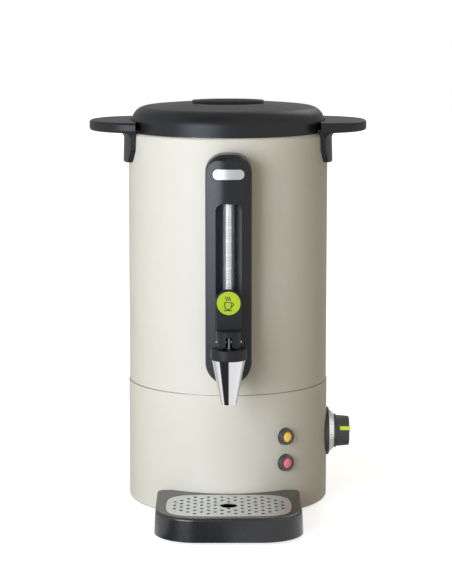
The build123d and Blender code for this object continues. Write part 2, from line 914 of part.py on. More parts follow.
# ---------------------------------------------------------------- tap
def make_tap_shank():
    shank = forward(shank_radius, shank_inner_reach, shank_shoulder_reach, 0, shank_height)
    shank += forward(spigot_radius, shank_shoulder_reach, spigot_reach, 0, shank_height)
    shank += upright(socket_radius, shank_height, socket_top, 0, -channel_reach)
    bore_end = channel_reach + socket_bore_radius
    shank -= forward(shank_bore_radius, shank_inner_reach - past, bore_end, 0, shank_height)
    shank -= forward(spigot_bore_radius, channel_reach, spigot_reach + past, 0, shank_height)
    shank -= upright(socket_bore_radius, shank_height, socket_top + past, 0, -channel_reach)
    return shank - upright(tube_radius + tube_gap, socket_floor, socket_top + past, 0, -channel_reach)


def boss_near():
    """Reach of the tap body's rear flange, against the front washer."""
    return column_reach + front_washer_thickness


def make_tap_body():
    y = -tap_reach
    body = upright_cone(spout_tip_radius, spout_top_radius, spout_tip, spout_top, 0, y)
    boss = forward(boss_radius, boss_near(), boss_near() + boss_flange_thickness, 0, shank_height)
    boss_limit = upright(bonnet_radius, spout_tip, spout_top, 0, boss_near())
    neck_radius = spigot_radius + channel_wall
    neck = forward(neck_radius, boss_near(), tap_reach, 0, shank_height) & block(
        -neck_radius, neck_radius, y, 0, spout_tip, spout_top)
    body += (boss - boss_limit) & block(-boss_radius, boss_radius, y, 0, spout_tip, spout_top)
    body += neck
    body -= upright(chamber_radius, seat_height, spout_top + past, 0, y)
    body -= upright_cone(spout_mouth_radius, spout_throat_radius, spout_tip, seat_height, 0, y)
    socket_end = spigot_reach + loose_fit
    body -= forward(spigot_radius + running_fit, boss_near() - past, socket_end, 0, shank_height)
    return body - forward(spigot_bore_radius, boss_near(), tap_reach, 0, shank_height)


def make_tap_bonnet():
    y = -tap_reach
    collar = upright(bonnet_radius, spout_top, bonnet_top, 0, y)
    collar = fillet(collar.edges().filter_by(GeomType.CIRCLE), bonnet_edge_round)
    plug_low = spout_top - bonnet_plug_depth
    collar += upright(chamber_radius - sheet_fit, plug_low, spout_top + past, 0, y)
    collar -= upright(bonnet_cavity_radius, plug_low - past, bonnet_top - bonnet_roof, 0, y)
    return collar - upright(stem_radius + running_fit, spout_top, bonnet_top + past, 0, y)


def make_tap_bush():
    body = forward(bush_radius, vessel_outer - bush_radius, casing_inner, 0, shank_height)
    body &= upright(casing_inner - sheet_fit, 0, casing_top)
    body -= upright(vessel_outer + sheet_fit, 0, casing_top)
    return body - forward(shank_radius + loose_fit, 0, casing_radius, 0, shank_height)


def make_tap_washers():
    inner = forward(inner_washer_radius, inner_washer_reach, vessel_inner, 0, shank_height)
    inner &= upright(vessel_inner - sheet_fit, vessel_floor, casing_top)
    inner -= forward(shank_radius + running_fit, 0, casing_radius, 0, shank_height)
    front = forward(boss_radius, shank_shoulder_reach, boss_near(), 0, shank_height)
    front -= upright(column_crown + running_fit, 0, column_top, 0, -(column_reach - column_crown))
    front -= forward(spigot_radius + running_fit, 0, boss_near() + past, 0, shank_height)
    return inner, front


def stem_flange_low():
    """Height of the flange that the spring pushes on."""
    return seat_height + cup_height + contact_gap


def make_tap_stem():
    y = -tap_reach
    stem = upright(stem_radius, stem_bottom, pin_height + stem_head_rise, 0, y)
    low = stem_flange_low()
    stem += upright(stem_flange_radius, low, low + stem_flange_thickness, 0, y)
    bore = pin_radius + running_fit
    return stem - (Pos(0, y, 0) * sideways(bore, -2 * stem_radius, 2 * stem_radius, 0, pin_height))


def make_seat_cup():
    cup_body = upright(cup_radius, seat_height, seat_height + cup_height, 0, -tap_reach)
    bore = stem_radius + running_fit
    return cup_body - upright(bore, stem_bottom - contact_gap, seat_height + cup_height + past, 0, -tap_reach)


def make_tap_spring():
    low = stem_flange_low() + stem_flange_thickness + spring_wire_radius + spring_end_gap
    high = bonnet_top - bonnet_roof - spring_wire_radius - spring_end_gap
    pitch = (high - low) / spring_turns
    path = Pos(0, -tap_reach, low) * Helix(pitch, high - low, spring_radius)
    section = Plane(origin=path @ 0, z_dir=path % 0) * Circle(spring_wire_radius)
    return sweep(section, path=path, is_frenet=True)


def make_lever_barrel():
    """The lever's round root, with its foot shaped as a cam about the pin."""
    y = -tap_reach
    barrel = upright_cone(barrel_radius, barrel_lip_radius, lever_foot, barrel_top, 0, y)
    cam_y = y - barrel_radius + cam_radius
    cam_z = lever_foot + cam_radius
    front = y - 2 * barrel_radius
    corner = block(-2 * barrel_radius, 2 * barrel_radius, front, cam_y, lever_foot - past, cam_z)
    cam = Pos(0, cam_y, 0) * sideways(cam_radius, -2 * barrel_radius, 2 * barrel_radius, 0, cam_z)
    return barrel - (corner - cam)


def make_tap_lever():
    y = -tap_reach
    face = -paddle_reach
    centre = pin_height + paddle_centre_rise
    stalk = make_face(Plane.XZ * Polyline(
        (paddle_radius, centre), (paddle_half_width, barrel_top), (-paddle_half_width, barrel_top),
        (-paddle_radius, centre), close=True))
    paddle = Pos(0, face + paddle_thickness, 0) * extrude(stalk, paddle_thickness, dir=(0, -1, 0))
    paddle += forward(paddle_radius, paddle_reach - paddle_thickness, paddle_reach, 0, centre)
    paddle = fillet(paddle.faces().sort_by(Axis.Y)[0].edges().sort_by(Axis.Z)[1:], paddle_edge_round)
    neck_side = barrel_radius - slot_half_width
    neck_low = pin_height + slot_rise + past
    neck = block(-neck_side, neck_side, face, face + paddle_thickness, neck_low, barrel_top)
    lever = make_lever_barrel() + paddle + neck
    lever -= block(-slot_half_width, slot_half_width, y - 2 * barrel_radius, y + slot_back,
                   lever_foot - past, pin_height + slot_rise)
    pin_bore = pin_radius + running_fit
    lever -= Pos(0, y, 0) * sideways(pin_bore, -2 * barrel_radius, 2 * barrel_radius, 0, pin_height)
    pocket_far = paddle_reach + past
    return lever - forward(disc_radius + running_fit, paddle_reach - disc_inset, pocket_far, 0, centre)


def make_lever_disc():
    centre = pin_height + paddle_centre_rise
    near = paddle_reach - disc_inset
    disc = forward(disc_radius, near, near + disc_thickness, 0, centre)
    return fillet(disc.edges().group_by(Axis.Y)[0], disc_thickness / 4)


def tap():
    save("tap_shank", make_tap_shank())
    save("tap_body", make_tap_body())
    save("tap_bonnet", make_tap_bonnet())
    save("tap_bush", make_tap_bush())
    save("tap_washers", *make_tap_washers())
    nut_far = inner_washer_reach
    nut_near = nut_far - tap_nut_thickness
    save("tap_nut", hex_nut(tap_nut_flats, shank_radius + thread_gap, nut_near, nut_far, shank_height))
    save("tap_stem", make_tap_stem())
    save("seat_cup", make_seat_cup())
    save("tap_spring", make_tap_spring())
    save("lever_pin", sideways(pin_radius, -pin_half_length, pin_half_length, -tap_reach, pin_height))
    save("tap_lever", make_tap_lever())
    save("lever_disc", make_lever_disc())


# ---------------------------------------------------------------- thermostat and its dial
def make_dial_base():
    base = sideways(dial_base_radius, bracket_reach + bracket_thickness, dial_face, 0, dial_height)
    base = chamfer(base.edges().group_by(Axis.X)[-1], dial_base_chamfer)
    base -= upright(base_radius + sheet_fit, 0, base_top)
    base -= sideways(dial_hole_radius, 0, dial_face + past, 0, dial_height)
    for rise in (-dial_screw_spread, dial_screw_spread):
        z = dial_height + rise
        base -= sideways(machine_screw_radius + screw_hole_gap, 0, dial_face + past, 0, z)
        sunk = dial_face - dial_screw_sunk
        base -= sideways(dial_screw_head_radius + loose_fit, sunk, dial_face + past, 0, z)
    return base


def make_dial_screws():
    seat = dial_face - dial_screw_sunk
    screws = []
    for rise in (-dial_screw_spread, dial_screw_spread):
        z = dial_height + rise
        head = sideways(dial_screw_head_radius, seat, dial_face - contact_gap, 0, z)
        screws.append(head + sideways(machine_screw_radius, bracket_reach - screw_end_gap, seat, 0, z))
    return screws


def pointer_form(gap):
    """The marker let into the knob: along its side and across its end."""
    half = pointer_half_width + gap
    side = block(knob_face - pointer_length - gap, knob_face + pointer_proud,
                 -knob_root_radius - gap, -(knob_end_radius - pointer_depth - gap), -half, half)
    end = block(knob_face - pointer_proud - gap, knob_face + pointer_proud,
                -knob_end_radius, -pointer_end_inner + gap, -half, half)
    return Pos(0, 0, dial_height) * Rot(-pointer_angle, 0, 0) * (side + end)


def make_knob():
    root = knob_low + knob_flange_thickness
    knob = sideways_cone(knob_root_radius, knob_end_radius, root, knob_face, 0, dial_height)
    knob = fillet(knob.edges().group_by(Axis.X)[-1], knob_edge_round)
    knob += sideways(knob_flange_radius, knob_low, root, 0, dial_height)
    knob -= sideways(spindle_radius + thread_gap, knob_low - past, knob_low + knob_bore_depth, 0, dial_height)
    return knob - pointer_form(thread_gap)


def make_thermostat_body():
    front = bracket_reach - thermostat_shoulder_thickness
    back = front - thermostat_depth
    body = block(back, front, -thermostat_half_width, thermostat_half_width,
                 dial_height - thermostat_half_height, dial_height + thermostat_half_height)
    body += sideways(thermostat_shoulder_radius, front, bracket_reach, 0, dial_height)
    body += sideways(thermostat_bush_radius, front, bracket_reach + thermostat_bush_length, 0, dial_height)
    for y in (-wire_spacing, wire_spacing):
        body += block(back - spade_length, back, y - spade_thickness / 2, y + spade_thickness / 2,
                      dial_height - spade_width / 2, dial_height + spade_width / 2)
    bore_end = bracket_reach + thermostat_bush_length + past
    bore = sideways(spindle_radius + running_fit, spindle_inner_reach - past, bore_end, 0, dial_height)
    return body - bore


def make_bracket():
    back = bracket_reach
    front = back + bracket_thickness
    plate = block(back, front, -bracket_half_width, bracket_half_width, plate_top, bracket_top)
    plate += block(front - bracket_foot_length, front, -bracket_half_width, bracket_half_width,
                   plate_top, plate_top + bracket_thickness)
    plate -= sideways(thermostat_bush_radius + loose_fit, back - past, front + past, 0, dial_height)
    for rise in (-dial_screw_spread, dial_screw_spread):
        plate -= sideways(machine_screw_radius + thread_gap, back - past, front + past, 0, dial_height + rise)
    return plate


def controls():
    save("dial_base", make_dial_base())
    dial_ring = sideways_cone(dial_ring_radius, dial_ring_top_radius, dial_face, ring_face, 0, dial_height)
    dial_ring -= sideways(dial_hole_radius, dial_face - past, ring_face + past, 0, dial_height)
    save("dial_ring", dial_ring)
    save("dial_screws", *make_dial_screws())
    save("thermostat_knob", make_knob())
    outside = sideways_cone(knob_root_radius + pointer_proud / 2, knob_end_radius + pointer_proud / 2,
                            knob_low + knob_flange_thickness, knob_face + pointer_proud, 0, dial_height)
    save("knob_pointer", pointer_form(0) & outside)
    spindle_end = knob_low + knob_bore_depth - spindle_end_gap
    save("thermostat_spindle", sideways(spindle_radius, spindle_inner_reach, spindle_end, 0, dial_height))
    save("thermostat_body", make_thermostat_body())
    save("control_bracket", make_bracket())


# ---------------------------------------------------------------- lamps
def bezel_front():
    """Reach of the lamp bezel's face along the lamp's own axis."""
    return base_radius + bezel_proud


def make_bezel(height):
    front = bezel_front()
    back = base_radius - bezel_barrel_length
    bezel = forward_cone(bezel_radius, bezel_front_radius, base_inner, front, 0, height)
    bezel -= upright(base_radius + sheet_fit, 0, base_top)
    bezel += forward(bezel_barrel_radius, back, front - past, 0, height)
    bezel -= forward(bezel_bore_radius, back - past, front + past, 0, height)
    return bezel - forward(lens_radius + running_fit, front - lens_seat_depth, front + past, 0, height)


def make_lens(height):
    """A domed lens with a small flat in the middle, where it was moulded from."""
    front = bezel_front()
    seat = front - lens_seat_depth
    tip = front + lens_dome
    dome_radius = (lens_radius ** 2 + lens_dome ** 2) / (2 * lens_dome)

    def on_dome(radius):
        return (radius, 0, tip - dome_radius + math.sqrt(dome_radius ** 2 - radius ** 2))

    gate_top = (0, 0, on_dome(lens_gate_radius)[2])
    outline = [
        Line((0, 0, seat), (lens_radius, 0, seat)),
        Line((lens_radius, 0, seat), on_dome(lens_radius)),
        ThreePointArc(on_dome(lens_radius), on_dome(lens_radius / 2), on_dome(lens_gate_radius)),
        Line(on_dome(lens_gate_radius), gate_top),
        Line(gate_top, (0, 0, seat)),
    ]
    return Pos(0, 0, height) * Rot(90, 0, 0) * revolve(make_face(Wire(outline)), Axis.Z)


def make_lamp_body(height):
    seat = bezel_front() - lens_seat_depth - contact_gap
    body = forward(bezel_bore_radius - contact_gap, seat - lamp_body_length, seat, 0, height)
    back = seat - lamp_body_length
    for x in (-bezel_bore_radius / 2, bezel_bore_radius / 2):
        body += block(x - spade_thickness / 2, x + spade_thickness / 2, -back, spade_length - back,
                      height - spade_width / 4, height + spade_width / 4)
    return body


def make_lamp_nut(height):
    far = base_inner - lamp_nut_back
    return hex_nut(lamp_nut_flats, bezel_barrel_radius + thread_gap, far - lamp_nut_thickness, far, height)


def lamps():
    turn = Rot(0, 0, lamp_azimuth)
    heights = (amber_lamp_height, red_lamp_height)
    save("lamp_bezels", *[turn * make_bezel(height) for height in heights])
    save("amber_lens", turn * make_lens(amber_lamp_height))
    save("red_lens", turn * make_lens(red_lamp_height))
    save("lamp_bodies", *[turn * make_lamp_body(height) for height in heights])
    save("lamp_nuts", *[turn * make_lamp_nut(height) for height in heights])


# ---------------------------------------------------------------- cord inlet, terminals, cut-out
def make_gland():
    gland = forward(gland_flange_radius, base_inner, base_radius + gland_proud, 0, gland_height)
    gland -= upright(base_radius + sheet_fit, 0, base_top)
    back = base_radius - gland_barrel_length
    gland += forward(gland_barrel_radius, back, base_radius + past, 0, gland_height)
    return gland - forward(gland_bore_radius, 0, base_radius + gland_proud + past, 0, gland_height)


def make_terminal_block():
    low = block_reach_back
    top = plate_top + block_height
    body = block(-block_half_length, block_half_length, low, low + block_depth, plate_top, top)
    y = low + block_depth / 2
    for k in (-1, 0, 1):
        body -= upright(block_screw_radius, top - block_height / 3, top + past, k * block_pitch, y)
    return body


def make_cutout():
    body = block(cutout_x - cutout_half_length, cutout_x + cutout_half_length,
                 -cutout_half_width, cutout_half_width, plate_top, plate_top + cutout_height)
    shoulder_top = plate_top + loose_fit + button_shoulder_thickness + button_travel + button_stop_gap
    body -= upright(button_shoulder_radius + button_gap, plate_top - past, shoulder_top, cutout_x, 0)
    button_top = button_sunk + button_length + button_travel + button_stop_gap
    return body - upright(button_radius + button_gap, plate_top - past, button_top, cutout_x, 0)


def make_button():
    button = upright(button_radius, button_sunk, button_sunk + button_length, cutout_x, 0)
    low = plate_top + loose_fit
    return button + upright(button_shoulder_radius, low, low + button_shoulder_thickness, cutout_x, 0)


def make_wires():
    """Two leads from the thermostat's tags to the heating element's terminals."""
    back = bracket_reach - thermostat_shoulder_thickness - thermostat_depth - spade_length - contact_gap
    terminal_low = heater_low - element_tube_radius - element_leg_length - terminal_length - contact_gap
    wires = []
    ends = sorted(element_leg_places(), key=lambda place: place[1])
    for y, (x_end, y_end) in zip((-wire_spacing, wire_spacing), ends):
        turn = 2 * wire_bend
        route = [(back, y, dial_height), (turn, y, dial_height), (x_end + turn, y_end, dial_height),
                 (x_end, y_end, dial_height), (x_end, y_end, terminal_low)]
        wires.append(tube_along(route, [wire_bend, wire_bend, wire_bend], wire_radius))
    return wires


def inlet():
    save("cord_gland", Rot(0, 0, 180) * make_gland())
    far = base_inner - gland_nut_back
    near = far - gland_nut_thickness
    nut = hex_nut(gland_nut_flats, gland_barrel_radius + thread_gap, near, far, gland_height)
    save("gland_nut", Rot(0, 0, 180) * nut)
    save("terminal_block", make_terminal_block())
    save("safety_cutout", make_cutout())
    save("reset_button", make_button())
    save("internal_wires", *make_wires())


# ---------------------------------------------------------------- drip tray
def tray_plan(inset):
    """Plan of the tray at its foot, before the back is cut to follow the body."""
    half = tray_half_width - inset
    back = -(tray_back_reach + inset)
    front = -(tray_front_reach - inset)
    plan = Pos(0, (back + front) / 2) * Rectangle(2 * half, back - front)
    corners = plan.vertices().group_by(Axis.Y)
    plan = fillet(corners[0], tray_front_corner - inset)
    return fillet(plan.vertices().group_by(Axis.Y)[-1], tray_back_corner - inset)


def grid_plan(growth):
    """Plan of the grid: four gently bowed sides with rounded corners."""
    half = grid_half_width + growth
    back = growth - grid_back_reach
    front = -grid_front_reach - growth
    middle = (back + front) / 2
    x = half - grid_side_bulge
    near = back - grid_end_bulge
    far = front + grid_end_bulge
    sides = [
        ThreePointArc((-x, near), (0, back), (x, near)),
        ThreePointArc((x, near), (half, middle), (x, far)),
        ThreePointArc((x, far), (0, front), (-x, far)),
        ThreePointArc((-x, far), (-half, middle), (-x, near)),
    ]
    face = make_face(Wire(sides))
    return fillet(face.vertices(), grid_corner + growth)


def make_drip_tray():
    body = Pos(0, 0, tray_lift) * extrude(tray_plan(0), tray_height, taper=tray_draft)
    body = fillet(body.faces().sort_by(Axis.Z)[-1].edges(), tray_top_round)
    roof = tray_height - tray_wall
    hollow = Pos(0, 0, tray_lift - past) * extrude(tray_plan(tray_wall), roof + past, taper=tray_draft)
    follow = base_radius + tray_body_gap
    hollow -= upright(follow + tray_wall, 0, tray_top + past)
    basin_rise = tray_top - tray_wall / 2 - basin_floor
    basin_outer = Pos(0, 0, basin_floor) * extrude(grid_plan(tray_wall / 2), basin_rise)
    basin_low = basin_floor + basin_floor_thickness
    basin = Pos(0, 0, basin_low) * extrude(grid_plan(-basin_ledge), tray_height)
    pocket_low = tray_top - grid_sunk - grid_thickness
    pocket = Pos(0, 0, pocket_low) * extrude(grid_plan(grid_gap), grid_thickness + past)
    tray = (body - hollow) + basin_outer - basin - pocket
    return tray - upright(follow, 0, tray_top + past)


def grid_hole_places():
    """A staggered pattern that keeps clear of the grid's edge and of the drain."""
    middle = -(grid_back_reach + grid_front_reach) / 2
    inside = grid_plan(-grid_hole_margin)
    columns = int(grid_half_width / grid_pitch)
    rows = int((grid_front_reach - grid_back_reach) / 2 / grid_pitch) + 1
    places = []
    for i in range(-columns, columns + 1):
        for j in range(-rows, rows + 1):
            x = i * grid_pitch
            y = middle + j * grid_pitch
            clear = math.hypot(x, y + tap_reach) > drain_radius + 2 * grid_hole_radius
            if (i + j) % 2 == 0 and clear and inside.is_inside((x, y, 0)):
                places.append((x, y))
    return places


def make_drip_grid():
    face = grid_plan(0)
    holes = [Pos(x, y) * Circle(grid_hole_radius) for x, y in grid_hole_places()]
    holes.append(Pos(0, -tap_reach) * Circle(drain_radius))
    face -= holes
    return Pos(0, 0, tray_top - grid_sunk - grid_thickness) * extrude(face, grid_thickness)


def drip_tray():
    save("drip_tray", make_drip_tray())
    pads = [upright(pad_radius, 0, basin_floor, x, -reach)
            for x in (-pad_spread, pad_spread) for reach in (pad_back_reach, pad_front_reach)]
    save("tray_pads", *pads)
    save("drip_grid", make_drip_grid())


os.makedirs("parts", exist_ok=True)
body_shells()
heating()
lid()
handles()
tap_column()
tap()
controls()
lamps()
inlet()
drip_tray()
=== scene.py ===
# %% [markdown]
# # A hot water urn
# The real urn is a double-walled steel body with a moulded lid, two carrying handles, a column
# with a level glass, a lever tap, a thermostat dial, two lamps and a loose drip tray.
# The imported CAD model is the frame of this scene. Its nodes keep their places, and this script
# gives them finishes, and replaces those whose surface needs more than a CAD mesh has.

# %% The frame
import math
import bmesh
import bpy
from mathutils import Matrix, Vector


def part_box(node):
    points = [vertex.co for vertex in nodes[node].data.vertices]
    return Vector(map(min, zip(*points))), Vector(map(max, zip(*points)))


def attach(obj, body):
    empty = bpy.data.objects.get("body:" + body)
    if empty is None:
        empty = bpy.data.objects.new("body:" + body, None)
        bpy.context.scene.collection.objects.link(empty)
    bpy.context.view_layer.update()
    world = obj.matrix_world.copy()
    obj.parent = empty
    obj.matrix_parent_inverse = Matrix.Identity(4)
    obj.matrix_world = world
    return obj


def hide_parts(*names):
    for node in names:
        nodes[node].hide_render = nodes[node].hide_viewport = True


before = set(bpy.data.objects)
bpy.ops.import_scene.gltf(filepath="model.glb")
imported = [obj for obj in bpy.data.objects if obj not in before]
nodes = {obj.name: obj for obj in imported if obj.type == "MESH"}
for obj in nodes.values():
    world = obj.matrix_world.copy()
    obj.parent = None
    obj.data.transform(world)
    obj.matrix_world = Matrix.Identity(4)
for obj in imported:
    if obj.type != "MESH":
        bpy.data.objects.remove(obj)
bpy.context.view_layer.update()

mm = 0.001
scene = bpy.context.scene

# %% [markdown]
# ## Colours and nodes
# Paint charts and screens give colours as sRGB codes, but shaders add up light in linear values.
# One function turns a code into linear light, so every colour below is written as it looks.
# One more adds a shader or geometry node with its settings and its links in a single line, and a
# third starts a material.

# %% Colour and node helpers
def colour(code):
    """An sRGB hex code as linear red, green, blue and alpha."""
    values = [int(code[k:k + 2], 16) / 255 for k in (1, 3, 5)]
    return [v / 12.92 if v <= 0.04045 else ((v + 0.055) / 1.055) ** 2.4 for v in values] + [1.0]


def add(tree, kind, inputs=None, **settings):
    """Adds a node; a value that is another node's socket is linked, any other is set."""
    node = tree.nodes.new(kind)
    for name, value in settings.items():
        setattr(node, name, value)
    for name, value in (inputs or {}).items():
        if isinstance(value, bpy.types.NodeSocket):
            tree.links.new(value, node.inputs[name])
        else:
            node.inputs[name].default_value = value
    return node


def finish(name, code, roughness, metallic=0.0, **sockets):
    """A material with one Principled shader; a socket's name is written with underscores."""
    material = bpy.data.materials.new(name)
    material.use_nodes = True
    tree = material.node_tree
    shader = tree.nodes["Principled BSDF"]
    shader.inputs["Base Color"].default_value = colour(code)
    shader.inputs["Roughness"].default_value = roughness
    shader.inputs["Metallic"].default_value = metallic
    for socket, value in sockets.items():
        shader.inputs[socket.replace("_", " ")].default_value = value
    return material, tree, shader


body_greys = "#C7C2B2", "#C9C4B5"
for code in body_greys:
    print("body grey", code, "in linear light:", [round(v, 3) for v in colour(code)])

# %% [markdown]
# ## Surface patterns
# No real surface is quite even. Powder coat has a fine orange peel, moulded plastic has the
# spark texture of its mould, and rolled or turned metal has scratches that run one way.
# All of these are noise at a real size, squeezed along one axis where the surface was brushed.
# The pattern drives bump for relief, a narrow roughness range for gloss, and a small colour drift.

# %% Pattern helpers
def grain(tree, size, stretch=(1, 1, 1), detail=3.0):
    """Noise whose features are `size` metres across, drawn out along an axis by `stretch`."""
    place = add(tree, "ShaderNodeTexCoord")
    scale = [1 / factor for factor in stretch]
    mapped = add(tree, "ShaderNodeMapping", {"Vector": place.outputs["Object"], "Scale": scale})
    noise = add(tree, "ShaderNodeTexNoise", {
        "Vector": mapped.outputs["Vector"], "Scale": 1 / size, "Detail": detail, "Roughness": 0.55})
    return noise.outputs["Fac"]


def relief(tree, shader, pattern, depth, strength=1.0):
    """Bump of `depth` metres from a pattern."""
    bump = add(tree, "ShaderNodeBump", {"Height": pattern, "Distance": depth, "Strength": strength})
    tree.links.new(bump.outputs["Normal"], shader.inputs["Normal"])


def uneven_gloss(tree, shader, pattern, least, most):
    """Roughness that wanders between two values."""
    spread = add(tree, "ShaderNodeMapRange", {
        "Value": pattern, "From Min": 0.3, "From Max": 0.7, "To Min": least, "To Max": most})
    tree.links.new(spread.outputs["Result"], shader.inputs["Roughness"])


def colour_drift(tree, shader, pattern, first, second):
    """Base colour that drifts between two codes."""
    ramp = add(tree, "ShaderNodeValToRGB", {"Fac": pattern})
    ramp.color_ramp.elements[0].position = 0.35
    ramp.color_ramp.elements[1].position = 0.65
    ramp.color_ramp.elements[0].color = colour(first)
    ramp.color_ramp.elements[1].color = colour(second)
    tree.links.new(ramp.outputs["Color"], shader.inputs["Base Color"])


# %% [markdown]
# ## Painted and bare metal
# The body is mild steel with a baked polyester powder coat: dry, warm light grey, and slightly
# pebbled at about 1.2 mm. The tap is nickel-chrome plated brass, polished to a mirror. The grid
# and the vessel are stainless steel with a satin grain, the hidden sheet parts are galvanised
# and the screws are zinc plated.

# %% Metal finishes
def make_powder_coat():
    material, tree, shader = finish("polyester powder coat", body_greys[0], 0.5)
    colour_drift(tree, shader, grain(tree, 40 * mm), *body_greys)
    peel = grain(tree, 1.2 * mm, detail=2.0)
    relief(tree, shader, peel, 0.02 * mm)
    uneven_gloss(tree, shader, peel, 0.46, 0.54)
    return material


def make_brushed(name, code, rough, direction, size=0.5 * mm):
    """Satin metal; the scratches run along the axis that `direction` stretches."""
    material, tree, shader = finish(name, code, rough, 1.0)
    scratches = grain(tree, size, direction, 4.0)
    relief(tree, shader, scratches, 0.01 * mm, 0.6)
    uneven_gloss(tree, shader, scratches, rough - 0.07, rough + 0.07)
    return material


def make_chrome():
    material, tree, shader = finish("bright chrome plate", "#E4E4E6", 0.06, 1.0)
    uneven_gloss(tree, shader, grain(tree, 6 * mm), 0.04, 0.09)
    return material


def make_zinc():
    material, tree, shader = finish("zinc plated steel", "#BDBBAE", 0.4, 1.0)
    spangle = grain(tree, 2.5 * mm, detail=1.0)
    colour_drift(tree, shader, spangle, "#B3B1A4", "#C8C6BB")
    uneven_gloss(tree, shader, spangle, 0.32, 0.46)
    return material


def make_copper():
    material, tree, shader = finish("drawn copper", "#C58A6A", 0.32, 1.0)
    colour_drift(tree, shader, grain(tree, 5 * mm), "#B97C5E", "#CE9676")
    return material


powder_coat = make_powder_coat()
grid_steel = make_brushed("satin stainless sheet", "#DADCDD", 0.36, (12, 1, 1), 0.4 * mm)
vessel_steel = make_brushed("drawn stainless vessel", "#DEDEDC", 0.32, (1, 1, 12))
badge_metal = make_brushed("brushed anodised aluminium", "#BDBDBB", 0.40, (14, 1, 1), 0.35 * mm)
dial_metal = make_brushed("spun aluminium", "#EFEFED", 0.27, (1, 6, 6), 0.4 * mm)
pressed_aluminium = make_brushed("pressed aluminium", "#C4C6C8", 0.42, (3, 3, 1), 1.5 * mm)
galvanised = make_brushed("galvanised sheet", "#A9ABAB", 0.45, (2, 2, 2), 3 * mm)
chrome = make_chrome()
zinc = make_zinc()
copper = make_copper()
print(len(bpy.data.materials), "materials so far")

# %% [markdown]
# ## Plastics, rubber and glass
# The lid and the handles are ABS from a spark-eroded mould, which leaves a fine matt pebble. The
# column, the tray and the knob come from smoother moulds and show soft reflections. The lamp
# lenses are tinted acrylic and the lever's disc is glossy ABS, both from a polished mould. The
# channel behind the level glass is a paler grey: painted light, where the glass shades its walls.

# %% Plastic, rubber and glass finishes
def make_moulded(name, code, least, most, pebble, depth, mirror=0.5):
    """Moulded plastic: a pebbled skin, with a gloss between two roughness values."""
    material, tree, shader = finish(name, code, least, 0.0, IOR=1.5, Specular_IOR_Level=mirror)
    skin = grain(tree, pebble, detail=2.0)
    relief(tree, shader, skin, depth)
    uneven_gloss(tree, shader, skin, least, most)
    return material


def make_column():
    """Satin plastic, with painted light: a paler grey on the channel behind the level glass."""
    material = make_moulded("satin ABS of the column", moulding_black, 0.26, 0.32, 0.7 * mm,
                            0.004 * mm, 0.3)
    tree = material.node_tree
    place = add(tree, "ShaderNodeTexCoord").outputs["Object"]
    near = add(tree, "ShaderNodeMapping", {
        "Vector": place, "Location": (0, channel_reach, 0), "Scale": (1, 1, 0)})
    away = add(tree, "ShaderNodeVectorMath", {0: near.outputs["Vector"]}, operation="LENGTH")
    part = add(tree, "ShaderNodeSeparateXYZ", {"Vector": place}).outputs
    share = 1.0
    for value, test, limit in ((away.outputs["Value"], "LESS_THAN", channel_radius),
                               (part["Y"], "GREATER_THAN", channel_mouth),
                               (part["Z"], "LESS_THAN", channel_top)):
        inside = add(tree, "ShaderNodeMath", {0: value, 1: limit}, operation=test).outputs[0]
        share = add(tree, "ShaderNodeMath", {0: inside, 1: share}, operation="MULTIPLY").outputs[0]
    # the paler grey inside the channel is painted light, not a finish of the plastic
    colour_drift(tree, tree.nodes["Principled BSDF"], share, moulding_black, channel_painted_light)
    return material


def make_lens(name, code, deep):
    """Tinted acrylic over a lamp: part of the light goes in and colours the inside."""
    material, tree, shader = finish(name, code, 0.12, 0.0, IOR=1.49, Subsurface_Weight=0.35,
                                    Subsurface_Scale=2 * mm, Coat_Weight=0.5, Coat_Roughness=0.05)
    colour_drift(tree, shader, grain(tree, 3 * mm), code, deep)
    return material


def make_glass():
    material, tree, shader = finish("borosilicate glass", "#F4F8F7", 0.03, 0.0, IOR=1.47,
                                    Transmission_Weight=0.88)
    uneven_gloss(tree, shader, grain(tree, 8 * mm), 0.02, 0.05)
    return material


# the channel is a part of a cylinder about an upright line, `channel_reach` in front of the urn's
# axis; it is open in front of `channel_mouth` and ends at `channel_top`
channel_reach, channel_radius = 131.0 * mm, 14.1 * mm
channel_mouth, channel_top = -139.5 * mm, 348.0 * mm
# the channel's paler grey is painted light, standing in for light that the glass tube keeps off its
# walls
moulding_black, channel_painted_light = "#1C1C1D", "#67676A"
abs_black = make_moulded("ABS with a spark texture", "#1D1D1E", 0.36, 0.44, 0.9 * mm, 0.010 * mm,
                         0.25)
column_black = make_column()
tray_black = make_moulded("satin tray ABS", moulding_black, 0.24, 0.30, 0.8 * mm, 0.005 * mm, 0.6)
knob_black = make_moulded("satin phenolic", "#3C3C3E", 0.32, 0.40, 0.6 * mm, 0.006 * mm, 0.5)
bezel_black = make_moulded("gloss ABS", "#333335", 0.14, 0.20, 0.8 * mm, 0.003 * mm, 0.8)
# painted shade: a dark grey for the rims round the grid's small holes, so that the holes look
# darker
hole_rim_painted_shade = make_brushed("hole rims with painted shade", "#3A3A3C", 0.5, (1, 1, 1))
disc_green = make_moulded("gloss green ABS", "#A5B91A", 0.16, 0.22, 2.0 * mm, 0.004 * mm)
pointer_green = make_moulded("gloss lime ABS", "#E8F23C", 0.2, 0.26, 2.0 * mm, 0.004 * mm)
print_black = make_moulded("screen print ink", "#1C1E16", 0.40, 0.50, 0.8 * mm, 0.004 * mm)
scale_white = make_moulded("white polyester strip", "#C2C3C2", 0.30, 0.38, 1.0 * mm, 0.004 * mm)
insulator = make_moulded("cream polyamide", "#D3CDB9", 0.45, 0.55, 1.0 * mm, 0.01 * mm)
silicone = make_moulded("milky silicone", "#DADAD6", 0.40, 0.50, 1.5 * mm, 0.01 * mm)
rubber = make_moulded("matt rubber", "#1B1B1B", 0.65, 0.80, 1.0 * mm, 0.03 * mm)
wire_cover = make_moulded("grey silicone insulation", "#7A7A7D", 0.48, 0.60, 1.0 * mm, 0.01 * mm)
amber = make_lens("amber acrylic", "#FFD250", "#FFBE3A")
red = make_lens("red acrylic", "#FF7C8B", "#FF6072")
